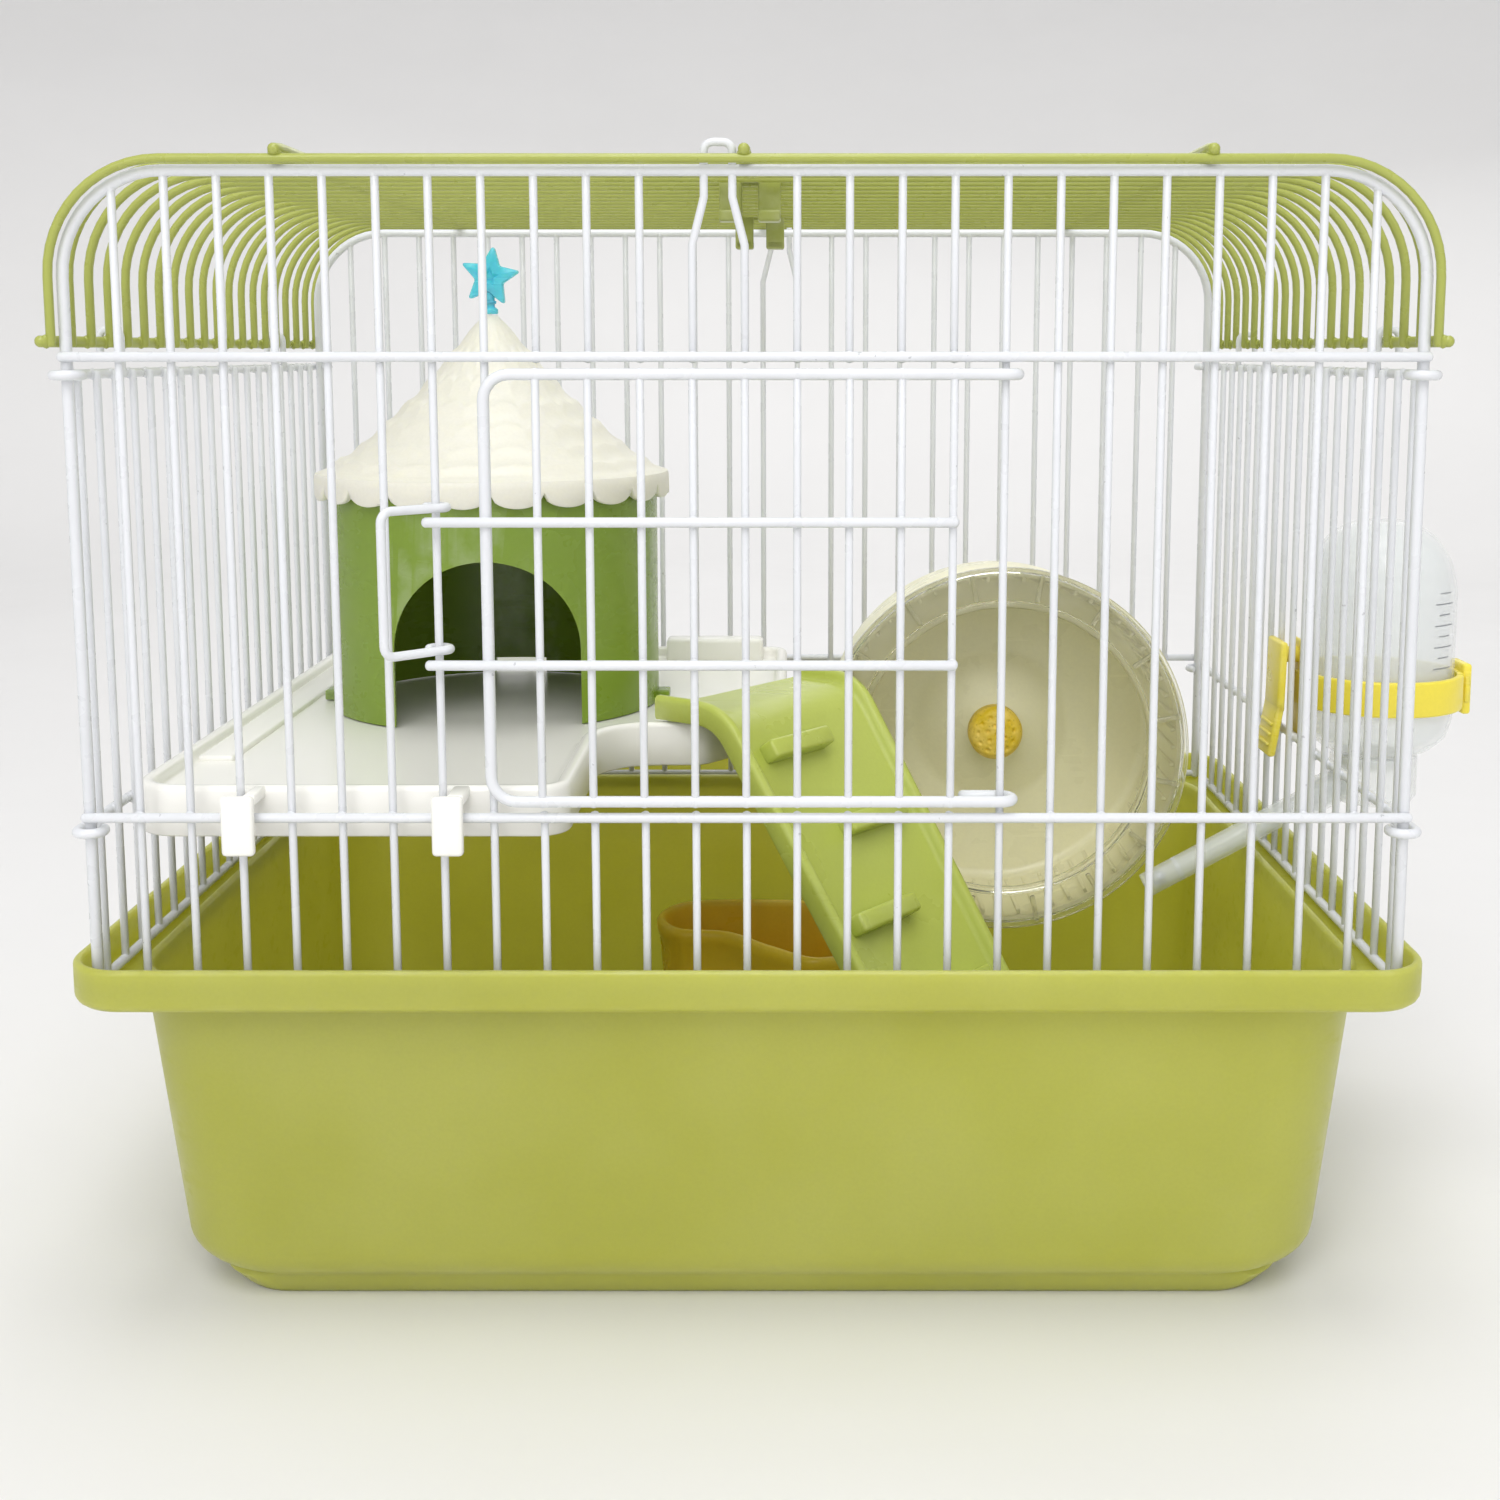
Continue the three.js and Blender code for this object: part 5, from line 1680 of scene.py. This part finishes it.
@dataclass
class DrinkingBottle:
    """The clear bottle outside the right panel, its cap, slanted spout and ball, and the yellow holder."""

    x: float = field(default_factory=lambda: middle("bottle").x)
    radius: float = 18.2
    wall: float = 1.4
    mouth: float = 99.2
    top: float = 159.4
    ring_low: float = 113.5
    ring_high: float = 122.0
    spout_start: tuple[float, float] = (148.2, 94.65)
    spout_end: tuple[float, float] = (97.4, 66.5)
    spout_radius: float = 3.15
    spout_bore: float = 2.2
    tip: float = 2.0
    ball: float = 1.9
    stud_z: float = 125.7
    panel_face: float = 129.9
    clear: Finish = CLEAR
    holder: Finish = HOLDER_YELLOW
    seal: Finish = SEAL_WHITE
    steel: Finish = STEEL
    ink: Finish = INK

    def upright(self) -> Matrix:
        """Give the transform onto the bottle's axis."""
        return Matrix.Translation((self.x, 0, 0))

    def along_spout(self) -> Matrix:
        """Give the transform that lays a body turned about Z onto the spout's axis, from its lower end."""
        x0, z0 = self.spout_end
        x1, z1 = self.spout_start
        lean = math.atan2(x1 - x0, z1 - z0)
        return Matrix.Translation((x0, 0, z0)) @ Matrix.Rotation(lean, 4, "Y")

    def spout_length(self) -> float:
        """Give the spout's length."""
        return math.dist(self.spout_start, self.spout_end)

    def build(self) -> None:
        """Build the bottle and everything on it."""
        self.build_bottle()
        self.build_marks()
        self.build_cap()
        self.build_spout()
        self.build_holder()

    def build_bottle(self) -> None:
        """Build the bottle's shell with its shoulder, neck and domed end."""
        inner = self.radius - self.wall
        top = self.top
        profile = [
            (0, top - self.wall), (6, top - 1.9, 8), (11.4, top - 4.6, 12), (15.4, 149.2, 14),
            (inner, 142, 12), (inner, 111.4, 5), (15.6, 107, 4), (12.2, 104.1, 4), (6.8, 102.4, 1),
            (6.8, self.mouth, 0.3), (8.2, self.mouth, 0.3), (8.2, 101.2, 0.4), (12.8, 102.6, 4),
            (16.8, 106, 5), (self.radius - 0.05, 111, 6), (self.radius - 0.05, 142.5, 12), (16.6, 150, 14),
            (12.2, top - 3.3, 12), (6.4, top - 0.5, 8), (0, top - 0.02),
        ]
        work = Workpiece()
        work.turn(profile, ROUND_SIDES, self.upright())
        work.piece("bottle_shell", self.clear, "cage", ["bottle"], "clear_plastic", smooth=60)

    def build_marks(self) -> None:
        """Build the plain level marks printed on the bottle's front."""
        work = Workpiece()
        for step in range(8):
            z = 124.5 + 2.6 * step
            width = 7.0 if step % 2 == 0 else 4.2
            start = math.degrees(width / self.radius)
            turn = -52.0
            centre, ends = Vector((self.x, 0, z)), (turn - start / 2, turn + start / 2)
            low = level_arc(centre, self.radius - 0.02, *ends, 6)
            outer = level_arc(centre, self.radius + 0.05, *ends, 6)
            band = low + outer[::-1]
            work.loft([band, [point + Vector((0, 0, 0.26)) for point in band]])
        work.piece("bottle_marks", self.ink, "cage", [], "seal_rubber")

    def build_cap(self) -> None:
        """Build the screw cap with its elbow, and the seal inside it."""
        floor = self.mouth - 1.6
        work = Workpiece()
        cup = [(0, 89), (9, 89, 0.6), (10.5, 91, 0.8), (10.5, 101, 0.4)]
        cup += [(8.6, 101, 0.3), (8.6, floor), (0, floor)]
        work.turn(cup, 72, self.upright())
        work.shape(self.grips)
        length = self.spout_length()
        elbow = [(3.6, length - 13), (4.3, length - 13, 0.3), (4.3, length - 1.2), (3.6, length - 1.2)]
        work.turn(elbow, THIN_SIDES, self.along_spout())
        work.piece("cap_screw", self.clear, "cage", ["bottle_cap"], "clear_plastic", smooth=40)
        work = Workpiece()
        high = self.mouth - 0.3
        washer = [(5, high - 1, 0.2), (8.1, high - 1, 0.2), (8.1, high, 0.2), (5, high, 0.2)]
        work.turn(washer, THIN_SIDES, self.upright())
        work.piece("seal_washer", self.seal, "cage", ["cap_seal"], "seal_rubber")

    def grips(self, place: Vector) -> Vector:
        """Wave the cap's side into fine grips."""
        across = place.x - self.x
        radius = math.hypot(across, place.y)
        if radius < 10.2 or not 91.5 < place.z < 100.5:
            return place
        grip = 1 - 0.02 * (0.5 + 0.5 * math.cos(24 * math.atan2(place.y, across)))
        return Vector((self.x + across * grip, place.y * grip, place.z))

    def build_spout(self) -> None:
        """Build the clear spout and the steel ball in its tip."""
        length = self.spout_length()
        bore, radius, tip = self.spout_bore, self.spout_radius, self.tip
        tube = [
            (1.4, 0), (radius - 0.05, 0, 0.5), (radius - 0.05, length, 0.2), (bore, length),
            (bore, tip, 0.2), (1.4, tip - 0.6, 0.2),
        ]
        work = Workpiece()
        collar = [(radius - 0.2, 9), (radius, 9), (radius, 10), (radius - 0.2, 10)]
        for profile in (tube, collar):
            work.turn(profile, THIN_SIDES, self.along_spout())
        work.piece("spout_tube", self.clear, "cage", ["bottle_spout"], "clear_plastic", smooth=40)
        ball = bmesh.new()
        bmesh.ops.create_uvsphere(ball, u_segments=32, v_segments=20, radius=self.ball)
        centre = self.along_spout() @ Matrix.Translation((0, 0, tip + self.ball + 0.3))
        bmesh.ops.transform(ball, matrix=centre, verts=ball.verts)
        work = Workpiece()
        work.take(ball)
        work.piece("ball_steel", self.steel, "ball", ["spout_ball"], "steel", smooth=60)

    def build_holder(self) -> None:
        """Build the yellow ring with its outer plate and flange, and the plate inside the panel."""
        inner = self.radius + 0.5
        outer = inner + 1.65
        work = Workpiece()
        band = [(inner, self.ring_low, 0.4), (outer, self.ring_low, 0.6)]
        band += [(outer, self.ring_high, 0.6), (inner, self.ring_high, 0.4)]
        work.turn(band, ROUND_SIDES, self.upright())
        work.block((133.85, -6.4, 104.8), (135, 6.4, 129.5), 0.5)
        work.block((134.6, -2.6, self.ring_low + 0.6), (136.2, 2.6, self.ring_high - 0.6), 0.4)
        far = self.x + outer
        work.block((far - 0.6, -5, self.ring_low - 2), (far + 1.55, 5, self.ring_high + 2), 0.7)
        work.block((far - 0.2, -5.4, self.ring_low + 1), (far + 1.0, 5.4, self.ring_high - 1), 0.4)
        lying = Matrix.Rotation(math.pi / 2, 4, "Y")
        work.piece("holder_ring", self.holder, "cage", ["bottle_holder"], "yellow_plastic", smooth=40)
        work = Workpiece()
        face = self.panel_face
        work.block((face - 1.9, -6.2, 112), (face, 6.2, 129.5), 0.7)
        work.block((face - 2.0, -6.2, 101), (face - 0.1, 6.2, 114), 0.7)
        for z in (103.5, 106.0, 108.5):
            work.block((face - 2.5, -5.0, z), (face - 1.5, 5.0, z + 0.9), 0.35)
        work.shape(self.wing)
        stud = Matrix.Translation((0, 0, self.stud_z)) @ lying
        work.turn([(0, face - 1), (2, face - 1), (2, 134.9, 0.3), (0, 134.9)], 40, stud)
        work.piece("holder_clamp", self.holder, "cage", ["holder_inner_plate"], "yellow_plastic", smooth=40)

    def wing(self, place: Vector) -> Vector:
        """Lean the clamp's lower half away from the panel, as a finger tab."""
        lean = 0.16 * max(0.0, 115.0 - place.z)
        return Vector((place.x - lean, place.y, place.z))


# ---- Studio


@dataclass
class Softbox:
    """One soft square light."""

    name: str
    place: tuple[float, float, float]
    size: float
    power: float
    colour: Colour = (1.0, 1.0, 1.0)
    aim: tuple[float, float, float] = (0.0, 0.0, 0.1)

    def hang(self) -> None:
        """Put the light in the scene, pointing at its aim."""
        lamp = bpy.data.lights.new(self.name, "AREA")
        lamp.shape = "SQUARE"
        lamp.size = self.size
        lamp.energy = self.power
        lamp.color = self.colour
        item = bpy.data.objects.new(self.name, lamp)
        item.location = self.place
        item.rotation_euler = (Vector(self.aim) - Vector(self.place)).to_track_quat("-Z", "Y").to_euler()
        bpy.context.scene.collection.objects.link(item)


@dataclass
class Studio:
    """The pale sweep, the soft lights and the camera."""

    reach: float = 3000.0
    floor_radius: float = 1500.0
    sky: float = 0.54
    camera_place: tuple[float, float, float] = (0.0100, -0.4412, 0.2001)
    pitch: float = 82.57
    lens: float = 43.34
    shift: tuple[float, float] = (-0.0315, -0.109)
    finish: Finish = PAPER
    lights: tuple[Softbox, ...] = field(default_factory=lambda: (
        Softbox("key_high", (-0.12, -1.2, 1.35), 0.9, 12.0),
        Softbox("key_above", (0.0, -0.1, 1.5), 0.7, 6.0),
        Softbox("front_left", (-0.9, -1.6, 0.9), 0.9, 4.0, aim=(0.0, 0.0, 0.12)),
        Softbox("front_right", (1.0, -1.5, 0.8), 0.8, 3.0, aim=(0.0, 0.0, 0.12)),
        Softbox("behind", (0.3, 1.5, 1.2), 1.2, 4.0),
        Softbox("backdrop", (0.0, 1.0, 1.9), 1.6, 9.0, aim=(0.0, 3.0, 0.5)),
    ))

    def build(self) -> None:
        """Build the sweep, hang the lights and set the camera."""
        work = Workpiece()
        profile = [(0.0, 0.0), (self.floor_radius, 0.0, 700.0)]
        profile += [(self.reach, 1100.0, 500.0), (self.reach + 60, 2600.0)]
        corners = [Vector((r, 0, z)) for r, z, *_ in profile]
        line = rounded(corners, [p[2] if len(p) > 2 else 0.0 for p in profile], 16)
        verts = [work.bm.verts.new(point) for point in line]
        edges = [work.bm.edges.new(pair) for pair in zip(verts, verts[1:])]
        bmesh.ops.spin(
            work.bm, geom=verts + edges, cent=(0, 0, 0), axis=(0, 0, 1), dvec=(0, 0, 0),
            angle=2 * math.pi, steps=96, use_merge=True, use_duplicate=False,
        )
        bmesh.ops.remove_doubles(work.bm, verts=work.bm.verts, dist=0.01)
        bmesh.ops.scale(work.bm, vec=(MM, MM, MM), verts=work.bm.verts)
        bmesh.ops.recalc_face_normals(work.bm, faces=work.bm.faces)
        mesh = bpy.data.meshes.new("sweep")
        work.bm.to_mesh(mesh)
        work.bm.free()
        mesh.shade_smooth()
        mesh.materials.append(self.finish.material())
        sweep = bpy.data.objects.new("sweep", mesh)
        bpy.context.scene.collection.objects.link(sweep)
        world = bpy.data.worlds.new("studio_air")
        world.use_nodes = True
        world.node_tree.nodes["Background"].inputs["Color"].default_value = (0.98, 0.985, 1.0, 1.0)
        world.node_tree.nodes["Background"].inputs["Strength"].default_value = self.sky
        bpy.context.scene.world = world
        for light in self.lights:
            light.hang()
        lens = bpy.data.cameras.new("camera")
        lens.sensor_width = 36.0
        lens.lens = self.lens
        lens.shift_x, lens.shift_y = self.shift
        camera = bpy.data.objects.new("camera", lens)
        camera.location = self.camera_place
        camera.rotation_euler = (math.radians(self.pitch), 0, 0)
        bpy.context.scene.collection.objects.link(camera)
        bpy.context.scene.camera = camera
        bpy.context.scene.view_settings.view_transform = "Standard"


# ---- Assembly


def main() -> None:
    """Build the whole scene around the CAD frame."""
    logging.basicConfig(level=logging.INFO, format="%(message)s")
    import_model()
    parts = (
        Tray(), WirePanels(), RoofGrille(), CarryHandle(), Door(), Latch(), Platform(), House(), Ladder(),
        FoodBowl(), RunningWheel(), DrinkingBottle(), Studio(),
    )
    for part in parts:
        LOG.info("building %s", type(part).__name__)
        part.build()


if __name__ == "__main__":
    main()
